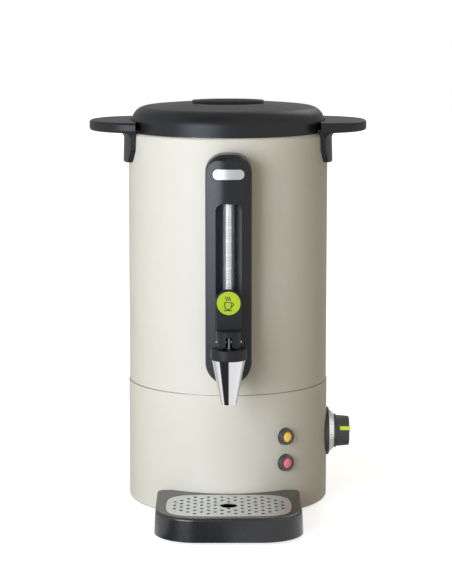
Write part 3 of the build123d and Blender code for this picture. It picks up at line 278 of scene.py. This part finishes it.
strip_ink = make_moulded("white strip print", "#F4F4F2", 0.30, 0.36, 1.0 * mm, 0.002 * mm)
glass = make_glass()
print(len(bpy.data.materials), "materials in all")

# %% [markdown]
# ## Dressing the CAD nodes
# Most pieces of the urn are already right in shape, with true edges and smooth normals, so they
# only need their finish. Each finish is listed once, with the nodes that wear it.

# %% Give every node its finish
worn = {
    powder_coat: ["outer_casing", "base_casing"],
    galvanised: ["seam_band", "base_plate", "control_bracket"],
    vessel_steel: ["inner_vessel", "lid_liner", "tap_nut", "heating_element"],
    grid_steel: ["drip_grid", "tap_stem", "lever_pin", "tap_spring"],
    chrome: ["tap_body", "tap_shank"],
    badge_metal: ["column_badge"],
    dial_metal: ["dial_ring"],
    pressed_aluminium: ["heater_plate"],
    zinc: ["foot_screws", "tie_rods", "base_screws", "heater_terminals", "handle_screws",
           "column_screws", "dial_screws", "thermostat_spindle"],
    copper: ["sensing_bulbs", "capillary_tubes"],
    abs_black: ["lid_shell", "right_handle", "left_handle", "tap_lever", "tap_bonnet", "tap_bush",
                "cord_gland", "gland_nut", "lamp_nuts"],
    tray_black: ["drip_tray"],
    column_black: ["tap_column"],
    bezel_black: ["lamp_bezels"],
    knob_black: ["thermostat_knob", "dial_base"],
    disc_green: ["lever_disc"],
    pointer_green: ["knob_pointer"],
    scale_white: ["level_scale"],
    insulator: ["thermostat_body", "lamp_bodies", "terminal_block", "safety_cutout"],
    silicone: ["lid_seal", "tube_seals", "tap_washers", "seat_cup"],
    rubber: ["rubber_feet", "tray_pads"],
    wire_cover: ["internal_wires"],
    amber: ["amber_lens"],
    red: ["red_lens", "reset_button"],
    glass: ["level_tube"],
}
for material, names in worn.items():
    for name in names:
        for slot in nodes[name].material_slots:
            slot.material = material
bare = sorted(set(nodes) - {name for names in worn.values() for name in names})
print("nodes without a finish:", bare)

# %% [markdown]
# ## Turned pieces
# A knob and a lamp lens are turned forms: one outline swept round an axis. A Geometry Nodes tree
# does this for any outline. It makes a grid with a row for each outline point, looks up that
# point for the whole row, and turns each column by its own angle. Two extra rules make it fit
# the real pieces: grip grooves that dip the radius on part of the height, and a twist from row
# to row, which breaks a smooth dome into the diamond facets of a cut lens.

# %% A tree needs sockets and a way to grow a mesh from it
def new_tree(name, sockets):
    """An empty Geometry Nodes tree with named inputs; gives the tree and its input node."""
    tree = bpy.data.node_groups.new(name, "GeometryNodeTree")
    tree.interface.new_socket("Geometry", in_out="INPUT", socket_type="NodeSocketGeometry")
    for socket, kind in sockets.items():
        tree.interface.new_socket(socket, in_out="INPUT", socket_type=kind)
    tree.interface.new_socket("Geometry", in_out="OUTPUT", socket_type="NodeSocketGeometry")
    return tree, tree.nodes.new("NodeGroupInput").outputs


def close_tree(tree, geometry, material):
    """Ends a tree with real geometry that wears the given material."""
    real = add(tree, "GeometryNodeRealizeInstances", {"Geometry": geometry})
    dressed = add(tree, "GeometryNodeSetMaterial", {
        "Geometry": real.outputs[0], "Material": material})
    add(tree, "NodeGroupOutput", {"Geometry": dressed.outputs[0]})


def grow(name, points, edges, faces, tree, **values):
    """Runs a tree on a small mesh and gives an object with the plain mesh that comes out."""
    seed = bpy.data.meshes.new(name)
    seed.from_pydata(points, edges, faces)
    piece = bpy.data.objects.new(name, seed)
    scene.collection.objects.link(piece)
    modifier = piece.modifiers.new("grow", "NODES")
    modifier.node_group = tree
    for socket in tree.interface.items_tree:
        key = socket.name.replace(" ", "_")
        if socket.in_out == "INPUT" and key in values:
            modifier[socket.identifier] = values[key]
    evaluated = piece.evaluated_get(bpy.context.evaluated_depsgraph_get())
    mesh = bpy.data.meshes.new_from_object(evaluated)
    piece.modifiers.clear()
    piece.data = mesh
    bpy.data.meshes.remove(seed)
    mesh.name = name
    return piece


def put(piece, matrix, body, slot, *replaced):
    """Moves the mesh, not the object, to its place, and says which body carries it."""
    piece.data.transform(matrix)
    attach(piece, body)
    if replaced:
        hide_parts(*replaced)
    print(piece.name, len(piece.data.polygons), "faces on", body)


# %% The turned tree
INTEGER, NUMBER, VECTOR = "NodeSocketInt", "NodeSocketFloat", "NodeSocketVector"
weld_distance = 0.001 * mm


def make_turned_tree():
    tree, given = new_tree("turned", {
        "Segments": INTEGER, "Grooves": INTEGER, "Groove Depth": NUMBER, "Groove Low": NUMBER,
        "Groove High": NUMBER, "Twist": NUMBER, "Material": "NodeSocketMaterial"})

    def work(operation, *values):
        return add(tree, "ShaderNodeMath", dict(enumerate(values)), operation=operation).outputs[0]

    rows = add(tree, "GeometryNodeAttributeDomainSize", {"Geometry": given["Geometry"]})
    across = work("ADD", given["Segments"], 1.0)
    sheet = add(tree, "GeometryNodeMeshGrid", {
        "Vertices X": rows.outputs["Point Count"], "Vertices Y": across})
    index = add(tree, "GeometryNodeInputIndex").outputs[0]
    row = work("FLOOR", work("DIVIDE", index, across))
    column = work("SUBTRACT", index, work("MULTIPLY", row, across))
    turn = work("MULTIPLY", work("ADD", column, work("MULTIPLY", row, given["Twist"])), math.tau)
    angle = work("DIVIDE", turn, given["Segments"])
    place = add(tree, "GeometryNodeInputPosition").outputs[0]
    outline = add(tree, "GeometryNodeSampleIndex", {
        "Geometry": given["Geometry"], "Value": place, "Index": row}, data_type="FLOAT_VECTOR")
    part = add(tree, "ShaderNodeSeparateXYZ", {"Vector": outline.outputs[0]}).outputs
    ridge = work("COSINE", work("MULTIPLY", angle, given["Grooves"]))
    wave = work("SUBTRACT", 0.5, work("MULTIPLY", ridge, 0.5))
    above = work("GREATER_THAN", part["Z"], given["Groove Low"])
    below = work("LESS_THAN", part["Z"], given["Groove High"])
    depth = work("MULTIPLY", wave, given["Groove Depth"])
    dip = work("MULTIPLY", depth, work("MULTIPLY", above, below))
    flat = add(tree, "ShaderNodeCombineXYZ", {
        "X": work("SUBTRACT", part["X"], dip), "Z": part["Z"]})
    turned = add(tree, "ShaderNodeVectorRotate", {
        "Vector": flat.outputs[0], "Angle": angle}, rotation_type="Z_AXIS")
    moved = add(tree, "GeometryNodeSetPosition", {
        "Geometry": sheet.outputs["Mesh"], "Position": turned.outputs[0]})
    joined = add(tree, "GeometryNodeMergeByDistance", {
        "Geometry": moved.outputs[0], "Distance": weld_distance})
    close_tree(tree, joined.outputs[0], given["Material"])
    return tree


turned_tree = make_turned_tree()
print("turned tree has", len(turned_tree.nodes), "nodes")


# %% Faces outwards, edges sharp or smooth
def tidy(piece, sharp_degrees):
    """Turns all faces outwards and keeps edges sharp above an angle; 0 leaves every face flat."""
    shape = bmesh.new()
    shape.from_mesh(piece.data)
    bmesh.ops.recalc_face_normals(shape, faces=shape.faces)
    if shape.calc_volume(signed=True) < 0:
        bmesh.ops.reverse_faces(shape, faces=shape.faces)
    shape.to_mesh(piece.data)
    shape.free()
    piece.data.shade_flat()
    if sharp_degrees:
        piece.data.shade_smooth()
        piece.data.set_sharp_from_angle(angle=math.radians(sharp_degrees))


def turned(name, outline, material, sharp_degrees, segments, **rules):
    """A turned piece about Z from (radius, height) points in order along its outline."""
    points = [(radius, 0, height) for radius, height in outline]
    steps = [(k, k + 1) for k in range(len(points) - 1)]
    piece = grow(name, points, steps, [], turned_tree, Segments=segments, Material=material,
                 **rules)
    tidy(piece, sharp_degrees)
    return piece


# %% [markdown]
# ## The thermostat knob
# A phenolic knob of 35 mm with a thin flange, a slight taper and fine grip grooves along its
# side. The grooves are only 0.45 mm deep, yet they catch the light as fine lines.
# It has the bore for the thermostat's spindle, so it is a closed form all round.

# %% Grow the knob
def dial_axis():
    """The turning frame of the dial: local Z points out of the urn's right side."""
    low_corner, high_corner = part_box("dial_ring")
    centre = (low_corner + high_corner) / 2
    return Matrix.Translation((0, centre.y, centre.z)) @ Matrix.Rotation(math.radians(90), 4, "Y")


knob_low, knob_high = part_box("thermostat_knob")
root, face = knob_low.x, knob_high.x
flange, grip_root, grip_end, round_edge = 19.0 * mm, 17.7 * mm, 16.4 * mm, 1.0 * mm
bore, bore_depth, flange_thick = 3.1 * mm, 9.0 * mm, 2.2 * mm
chamfer, dish, dish_depth, hair = 0.3 * mm, 11.5 * mm, 0.4 * mm, 0.1 * mm
flange_top = root + flange_thick
groove_low, groove_high = flange_top + 0.95 * mm, face - round_edge - 0.65 * mm
# the two pairs of points that are a hair apart stand on either side of each groove's end
knob_outline = [
    (0, root + bore_depth), (bore, root + bore_depth), (bore, root),
    (flange - chamfer, root), (flange, root + chamfer),
    (flange, flange_top - chamfer), (flange - chamfer, flange_top),
    (grip_root, flange_top + hair / 10),
    (grip_root - hair, groove_low - hair / 2), (grip_root - hair, groove_low + hair / 2),
    (grip_end + 1.2 * hair, groove_high - hair / 2), (grip_end + hair, groove_high + hair / 2),
    (grip_end, face - round_edge), (grip_end - chamfer, face - chamfer),
    (grip_end - round_edge, face),
    (dish, face), (dish - chamfer, face - dish_depth), (0, face - dish_depth)]
knob = turned("thermostat_knob_grip", knob_outline, knob_black, 35, 216, Grooves=36,
              Groove_Depth=0.45 * mm, Groove_Low=groove_low, Groove_High=groove_high)
put(knob, dial_axis(), "knob", "black_plastic", "thermostat_knob")

# %% [markdown]
# ## The lamp lenses
# Pilot lamps have a lens of clear tinted acrylic with diamond facets moulded into it, so that
# the lamp glitters from every side. Each row of the turned outline is twisted by half a
# segment against the next, and every face stays flat.

# %% Grow a lens for each lamp
def lamp_axis(node):
    """The lamp's own frame: local Z points out of the urn, 34 degrees to the right of its front."""
    low_corner, high_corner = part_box(node)
    height = (low_corner.z + high_corner.z) / 2
    return (Matrix.Translation((0, 0, height)) @ Matrix.Rotation(lamp_azimuth, 4, "Z")
            @ Matrix.Rotation(math.radians(90), 4, "X"))


def lens_outline(front):
    """Lens profile from its seat to its top; `front` is the reach of the bezel's face."""
    seat, rim = front - 3.6 * mm, 6.0 * mm
    dome = [(5.3, -0.1), (4.0, 0.55), (2.6, 0.95), (1.2, 1.15), (0, 1.2)]
    return [(0, seat), (rim, seat), (rim, front - 0.9 * mm)] + [
        (radius * mm, front + rise * mm) for radius, rise in dome]


lamp_azimuth = math.radians(33.9)
bezel_face = max((v.co.x * math.sin(lamp_azimuth) - v.co.y * math.cos(lamp_azimuth))
                 for v in nodes["lamp_bezels"].data.vertices)
for node, tint in (("amber_lens", amber), ("red_lens", red)):
    lens = turned(node + "_facets", lens_outline(bezel_face), tint, 0, 12, Twist=0.5)
    put(lens, lamp_axis(node), "urn", node.split("_")[0], node)

# %% [markdown]
# ## Copies in a row or round an axis
# The marks of a scale or a dial are one small shape many times over. The tree makes a line of
# points with a fixed step, puts the shape on each and turns each copy a little more than the
# one before. A step of zero leaves a ring, and a turn of zero leaves a row.

# %% The copies tree
def make_copies_tree():
    tree, given = new_tree("copies", {
        "Count": INTEGER, "Step": VECTOR, "Turn": NUMBER, "Material": "NodeSocketMaterial"})
    spots = add(tree, "GeometryNodeMeshLine", {"Count": given["Count"], "Offset": given["Step"]})
    index = add(tree, "GeometryNodeInputIndex").outputs[0]
    angle = add(tree, "ShaderNodeMath", {0: index, 1: given["Turn"]}, operation="MULTIPLY")
    turns = add(tree, "ShaderNodeCombineXYZ", {"Z": angle.outputs[0]})
    copies = add(tree, "GeometryNodeInstanceOnPoints", {
        "Points": spots.outputs[0], "Instance": given["Geometry"], "Rotation": turns.outputs[0]})
    close_tree(tree, copies.outputs[0], given["Material"])
    return tree


copies_tree = make_copies_tree()


def copies(name, points, faces, material, count, step=(0, 0, 0), turn=0.0):
    """Equal copies of a small shape, each one `step` and `turn` on from the last."""
    piece = grow(name, points, [], faces, copies_tree, Count=count, Step=step, Turn=turn,
                 Material=material)
    tidy(piece, 30)
    return piece


# %% [markdown]
# ## Marks on the dial
# The bevelled aluminium ring has fine printed marks over 270 degrees, with a longer one every
# 30 degrees. A mark is a thin raised pad on the cone, 0.06 mm thick as screen print is.

# %% Grow the dial marks
def cone_pad(inner, outer, half_width, base_height, slope_radius):
    """A thin pad on a 45-degree cone as points and faces, sunk by `ink_root` below its face."""
    points = []
    for lift in (-ink_root, ink_height):
        for radius in (inner, outer):
            for side in (-half_width, half_width):
                height = base_height + (slope_radius - radius) + lift
                points.append((radius + lift, side, height))
    faces = [(0, 1, 3, 2), (4, 6, 7, 5), (0, 4, 5, 1), (2, 3, 7, 6), (0, 2, 6, 4), (1, 5, 7, 3)]
    return points, faces


ring_low, ring_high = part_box("dial_ring")
ring_radius = (ring_high.z - ring_low.z) / 2
ink_root, ink_height, marks_outer = 0.05 * mm, 0.06 * mm, 23.6 * mm
first_mark = Matrix.Rotation(math.radians(-90), 4, "Z")
# name, inner radius and half width in mm, number of marks, degrees from one to the next
mark_rows = (("dial_marks", 22.2, 0.11, 28, 10), ("dial_hour_marks", 21.0, 0.17, 10, 30))
for name, inner, half, count, gap in mark_rows:
    points, faces = cone_pad(inner * mm, marks_outer, half * mm, ring_low.x, ring_radius)
    marks = copies(name, points, faces, print_black, count, turn=math.radians(-gap))
    put(marks, dial_axis() @ first_mark, "urn", "black_plastic")

# %% [markdown]
# ## Marks on the level strip
# The strip behind the glass is a white plastic tag with a broad white line for each litre and a
# fine dark one for each fifth. The lines follow the tag's curve, so each is a small bent pad.

# %% Grow the level marks
def bent_pad(radius, half_width, height, thickness, steps=6):
    """A pad bent round Z at the front of a cylinder, `height` tall, as points and faces."""
    points, faces = [], []
    reach = math.asin(half_width / radius)
    for k in range(steps + 1):
        angle = -reach + 2 * reach * k / steps
        for depth in (radius - thickness / 2, radius + thickness / 2):
            for level in (0, height):
                points.append((depth * math.sin(angle), -depth * math.cos(angle), level))
    for k in range(steps):
        a, b = 4 * k, 4 * k + 4
        faces += [(a, b, b + 1, a + 1), (a + 2, a + 3, b + 3, b + 2),
                  (a, a + 2, b + 2, b), (a + 1, b + 1, b + 3, a + 3)]
    end = 4 * steps
    return points, faces + [(0, 1, 3, 2), (end, end + 2, end + 3, end + 1)]


strip_low, strip_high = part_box("level_scale")
tube_low, tube_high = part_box("level_tube")
tube_centre_y = (tube_low.y + tube_high.y) / 2
strip_radius = tube_centre_y - strip_low.y
litre_step, strip_margin, ink_thickness = 14.4 * mm, 6 * mm, 0.12 * mm
litres = int((strip_high.z - strip_low.z - strip_margin) / litre_step) + 1
# name, half width, height and foot of the first line in mm, ink, slot, number of lines, step
level_rows = (("litre_marks", 2.7, 0.7, 4, strip_ink, "scale_white", litres, litre_step),
              ("fifth_marks", 1.1, 0.35, 4.17, print_black, "black_plastic", 5 * (litres - 1) + 1,
               litre_step / 5))
for name, half, height, foot, ink, slot, count, step in level_rows:
    points, faces = bent_pad(strip_radius, half * mm, height * mm, ink_thickness)
    marks = copies(name, points, faces, ink, count, step=(0, 0, step))
    put(marks, Matrix.Translation((0, tube_centre_y, strip_low.z + foot * mm)), "urn", slot)

# %% [markdown]
# ## Rims round the grid's holes
# Punching a thin sheet pulls a small rounded edge into each hole. The rims of the small holes
# are a dark grey: painted shade, so that the holes look larger and darker. The hole centres are
# read from the grid's own mesh, and a thin ring is put on each.

# %% Find the holes
def hole_centres(node):
    """Centre and radius of each round edge on the top face of a flat sheet."""
    shape = bmesh.new()
    shape.from_mesh(nodes[node].data)
    bmesh.ops.remove_doubles(shape, verts=shape.verts, dist=weld_distance)
    top = max(v.co.z for v in shape.verts)
    rim_edges = [e for e in shape.edges if len(e.link_faces) == 2
                 and all(abs(v.co.z - top) < level_tolerance for v in e.verts)
                 and min(abs(f.normal.z) for f in e.link_faces) < steep]
    beside = {}
    for edge in rim_edges:
        for vertex, other in (edge.verts, reversed(edge.verts)):
            beside.setdefault(vertex, []).append(other)
    holes, seen = [], set()
    for start in beside:
        if start in seen:
            continue
        loop, waiting = [], [start]
        while waiting:
            vertex = waiting.pop()
            if vertex not in seen:
                seen.add(vertex)
                loop.append(vertex.co.copy())
                waiting += beside[vertex]
        middle = Vector(((min(p.x for p in loop) + max(p.x for p in loop)) / 2,
                         (min(p.y for p in loop) + max(p.y for p in loop)) / 2, top))
        holes.append((middle, max((p - middle).length for p in loop)))
    shape.free()
    return holes


def make_rims_tree():
    tree, given = new_tree("rims", {
        "Hole Radius": NUMBER, "Wire Radius": NUMBER, "Sides": INTEGER,
        "Material": "NodeSocketMaterial"})
    circle = add(tree, "GeometryNodeCurvePrimitiveCircle", {
        "Resolution": given["Sides"], "Radius": given["Hole Radius"]})
    wire = add(tree, "GeometryNodeCurvePrimitiveCircle", {
        "Resolution": 4, "Radius": given["Wire Radius"]})
    rim = add(tree, "GeometryNodeCurveToMesh", {
        "Curve": circle.outputs["Curve"], "Profile Curve": wire.outputs["Curve"]})
    rims = add(tree, "GeometryNodeInstanceOnPoints", {
        "Points": given["Geometry"], "Instance": rim.outputs[0]})
    close_tree(tree, rims.outputs[0], given["Material"])
    return tree


rims_tree = make_rims_tree()
level_tolerance, steep = 0.01 * mm, 0.5
small_most, drain_most = 3 * mm, 20 * mm
holes = hole_centres("drip_grid")
small = [middle for middle, radius in holes if radius < small_most]
drain = [middle for middle, radius in holes if small_most <= radius < drain_most]
drain_radius = [radius for middle, radius in holes if small_most <= radius < drain_most][0]
# the small holes' dark rims are painted shade; the drain's rim is plain grid steel
# name, centres, radius of the ring's middle, radius of its wire, sides, finish
rim_rows = (("grid_hole_rims", small, 1.74 * mm, 0.24 * mm, 16, hole_rim_painted_shade),
            ("grid_drain_rim", drain, drain_radius + 0.10 * mm, 0.12 * mm, 48, grid_steel))
for name, centres, radius, wire, sides, material in rim_rows:
    rims = grow(name, centres, [], [], rims_tree, Hole_Radius=radius, Wire_Radius=wire, Sides=sides,
                Material=material)
    tidy(rims, 80)
    put(rims, Matrix.Identity(4), "grid", "stainless")
print(len(small), "small holes and", len(drain), "drain")

# %% [markdown]
# ## The mark on the tap's disc
# The lever's green disc has a printed cup with a handle and three wisps of steam, so that a
# guest knows what to press. Ink lines are ribbons: a tree turns drawn lines into curves and
# sweeps a flat band along them.

# %% The ribbon tree
def make_ribbon_tree():
    tree, given = new_tree("ribbon", {
        "Width": NUMBER, "Thickness": NUMBER, "Material": "NodeSocketMaterial"})
    line = add(tree, "GeometryNodeMeshToCurve", {"Mesh": given["Geometry"]})
    level = add(tree, "GeometryNodeSetCurveNormal", {"Curve": line.outputs[0]}, mode="Z_UP")
    band = add(tree, "GeometryNodeCurvePrimitiveQuadrilateral", {
        "Width": given["Width"], "Height": given["Thickness"]}, mode="RECTANGLE")
    ribbon = add(tree, "GeometryNodeCurveToMesh", {
        "Curve": level.outputs[0], "Profile Curve": band.outputs[0], "Fill Caps": True})
    close_tree(tree, ribbon.outputs[0], given["Material"])
    return tree


ribbon_tree = make_ribbon_tree()


# %% Draw the cup
def arc(x, y, width, height, start, end, steps=10):
    """Points on an ellipse between two angles in degrees."""
    turns = [math.radians(start + (end - start) * k / steps) for k in range(steps + 1)]
    return [(x + width * math.cos(t), y + height * math.sin(t)) for t in turns]


def wisp(x, foot=2.3, height=3.6, swing=0.45, steps=10):
    """One wisp of steam: a slow wave that rises."""
    return [(x + swing * math.sin(math.tau * k / steps), foot + height * k / steps)
            for k in range(steps + 1)]


left, right, brim = -3.4, 2.2, 0.9
bowl = arc(-0.6, -2.6, 2.8, 2.9, 180, 360, 14)
handle = arc(2.3, -1.1, 1.9, 1.5, 80, -80)
saucer = [(-4.3, -6.4), (3.1, -6.4)]
cup_lines = [[(left, brim)] + bowl + [(right, brim), (left, brim)], handle, saucer,
             wisp(-2.3), wisp(-0.6), wisp(1.1)]
cup_scale = 1.2 * mm
points, steps = [], []
for line in cup_lines:
    first = len(points)
    points += [(x * cup_scale, y * cup_scale, 0) for x, y in line]
    steps += [(k, k + 1) for k in range(first, len(points) - 1)]
mark = grow("cup_mark", points, steps, [], ribbon_tree, Width=1.05 * mm, Thickness=0.14 * mm,
            Material=print_black)
tidy(mark, 30)
disc_low, disc_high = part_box("lever_disc")
disc_middle = Matrix.Translation((0, disc_low.y, (disc_low.z + disc_high.z) / 2))
on_disc = disc_middle @ Matrix.Rotation(math.radians(90), 4, "X")
put(mark, on_disc, "lever", "black_plastic")

# %% [markdown]
# ## The studio
# A white floor and backdrop, one large soft light from the left and two weak ones, from the right
# and from behind. Polished metal shows its surroundings more than its own colour, so the studio
# has white sides and a dark front, like white cards round a table in a dark room. Only glossy
# rays see that pattern. The camera sees plain white, and the floor keeps the urn's shadow,
# because only camera rays get the floor's extra light.

# %% The pattern that polished metal sees
def around(tree, vector):
    """How bright the studio is in the direction of a vector: a band of greys round the urn."""
    part = add(tree, "ShaderNodeSeparateXYZ", {"Vector": vector}).outputs
    front = add(tree, "ShaderNodeMath", {0: part["Y"], 1: -1.0}, operation="MULTIPLY")
    angle = add(tree, "ShaderNodeMath", {0: part["X"], 1: front.outputs[0]}, operation="ARCTAN2")
    share = add(tree, "ShaderNodeMapRange", {
        "Value": angle.outputs[0], "From Min": -math.pi, "From Max": math.pi})
    ramp = add(tree, "ShaderNodeValToRGB", {"Fac": share.outputs["Result"]})
    stops = ramp.color_ramp.elements
    for degrees, level in studio_bands:
        stop = stops.new((degrees + 180) / 360)
        stop.color = (level, level, level, 1)
    stops.remove(stops[0])
    stops.remove(stops[-1])
    return ramp.outputs["Color"]


# degrees from straight in front (left is negative), and how bright it is there
studio_bands = [(-179, 0.5), (-120, 0.6), (-90, 1.0), (-74, 1.0), (-66, 0.03), (-4, 0.03),
                (4, 0.95), (60, 0.95), (75, 1.0), (105, 1.0), (125, 0.45), (179, 0.5)]


# %% Floor and world
def make_floor():
    """A wide white floor that shows shadows near the urn and is plain white further out."""
    size = 6.0
    mesh = bpy.data.meshes.new("floor")
    corners = [(-size, -size, 0), (size, -size, 0), (size, size, 0), (-size, size, 0)]
    mesh.from_pydata(corners, [], [(0, 1, 2, 3)])
    floor = bpy.data.objects.new("floor", mesh)
    scene.collection.objects.link(floor)
    material, tree, shader = finish("white seamless paper", "#E8E8E8", 0.9, Specular_IOR_Level=0.0)
    place = add(tree, "ShaderNodeTexCoord").outputs["Object"]
    far = add(tree, "ShaderNodeVectorMath", {0: place}, operation="LENGTH")
    fade = add(tree, "ShaderNodeMapRange", {
        "Value": far.outputs["Value"], "From Min": glow_start, "From Max": glow_end,
        "To Min": floor_glow, "To Max": 1.0})
    seen = add(tree, "ShaderNodeLightPath")
    glow = add(tree, "ShaderNodeMath", {
        0: seen.outputs["Is Camera Ray"], 1: fade.outputs["Result"]}, operation="MULTIPLY")
    white = add(tree, "ShaderNodeEmission", {"Strength": glow.outputs[0]})
    both = add(tree, "ShaderNodeAddShader", {
        0: shader.outputs["BSDF"], 1: white.outputs["Emission"]})
    moved = add(tree, "ShaderNodeMapping", {"Vector": place, "Location": (0, spout_reach, 0)})
    card = add(tree, "ShaderNodeEmission", {"Color": around(tree, moved.outputs["Vector"])})
    shown = add(tree, "ShaderNodeMixShader", {
        0: seen.outputs["Is Glossy Ray"], 1: both.outputs[0], 2: card.outputs["Emission"]})
    tree.links.new(shown.outputs["Shader"], tree.nodes["Material Output"].inputs["Surface"])
    mesh.materials.append(material)


def make_world():
    """A weak warm light from all round, plain white to the camera and banded to polished metal."""
    world = bpy.data.worlds.new("studio")
    scene.world = world
    world.use_nodes = True
    tree = world.node_tree
    seen = add(tree, "ShaderNodeLightPath")
    plain = tree.nodes["Background"]
    plain.inputs["Color"].default_value = colour("#FFF3D8")
    plain.inputs["Strength"].default_value = world_strength
    white = add(tree, "ShaderNodeBackground", {"Color": colour("#FFFFFF")})
    direction = add(tree, "ShaderNodeTexCoord").outputs["Generated"]
    cards = add(tree, "ShaderNodeBackground", {"Color": around(tree, direction)})
    straight = add(tree, "ShaderNodeMath", {
        0: seen.outputs["Is Camera Ray"], 1: seen.outputs["Is Transmission Ray"]},
        operation="MAXIMUM")
    open_view = add(tree, "ShaderNodeMixShader", {
        0: straight.outputs[0], 1: plain.outputs[0], 2: white.outputs[0]})
    all_views = add(tree, "ShaderNodeMixShader", {
        0: seen.outputs["Is Glossy Ray"], 1: open_view.outputs[0], 2: cards.outputs[0]})
    tree.links.new(all_views.outputs[0], tree.nodes["World Output"].inputs["Surface"])


floor_glow, glow_start, glow_end = 0.7, 0.15, 0.6
world_strength = 0.27
spout_reach = 164 * mm
make_floor()
make_world()
print("floor glow", floor_glow, "world", world_strength)


# %% Lamps
def soft_light(name, azimuth, rise, distance, width, height, power, tint):
    """An area light that points at the urn's middle; azimuth is in degrees from its front."""
    light = bpy.data.lights.new(name, "AREA")
    light.shape = "RECTANGLE"
    light.size = width
    light.size_y = height
    light.energy = power
    light.color = colour(tint)[:3]
    lamp = bpy.data.objects.new(name, light)
    turn = math.radians(azimuth)
    place = middle + Vector((math.sin(turn) * distance, -math.cos(turn) * distance, rise))
    lamp.location = place
    lamp.rotation_euler = (middle - place).to_track_quat("-Z", "Y").to_euler()
    scene.collection.objects.link(lamp)


# each line: name, degrees from the front, metres above the middle and away from it, width and
# height in metres, watts, tint
middle = Vector((0, 0, 0.22))
soft_light("key from the left", -33, 0.28, 1.7, 1.2, 1.0, 36, "#E9F1FF")
soft_light("fill from the right", 60, 0.4, 1.8, 0.9, 0.9, 1.6, "#FFF2DA")
soft_light("light from behind", 150, 1.5, 1.9, 1.0, 1.0, 7, "#FFFFFF")
print("lamps:", [light.name for light in bpy.data.lights])

# %% [markdown]
# ## The camera
# The camera stands 2.47 m in front of the urn and looks down at it a little, from a height
# of 0.61 m. The lens is a long one, so that the sides of the body stay nearly upright.

# %% Camera
def make_camera():
    """The scene's camera, level but for its tilt and a slight turn."""
    lens = bpy.data.cameras.new("camera")
    lens.lens = focal_length
    lens.sensor_width = 36
    lens.sensor_fit = "AUTO"
    camera = bpy.data.objects.new("camera", lens)
    camera.location = camera_place
    camera.rotation_euler = (math.radians(90) - camera_tilt, 0, -camera_yaw)
    scene.collection.objects.link(camera)
    scene.camera = camera


camera_place = (-0.0125, -2.468, 0.6078)
camera_tilt = math.radians(8.657)
camera_yaw = math.radians(0.239)
focal_length = 137.65
make_camera()
scene.view_settings.view_transform = "Standard"
print("camera at", camera_place)
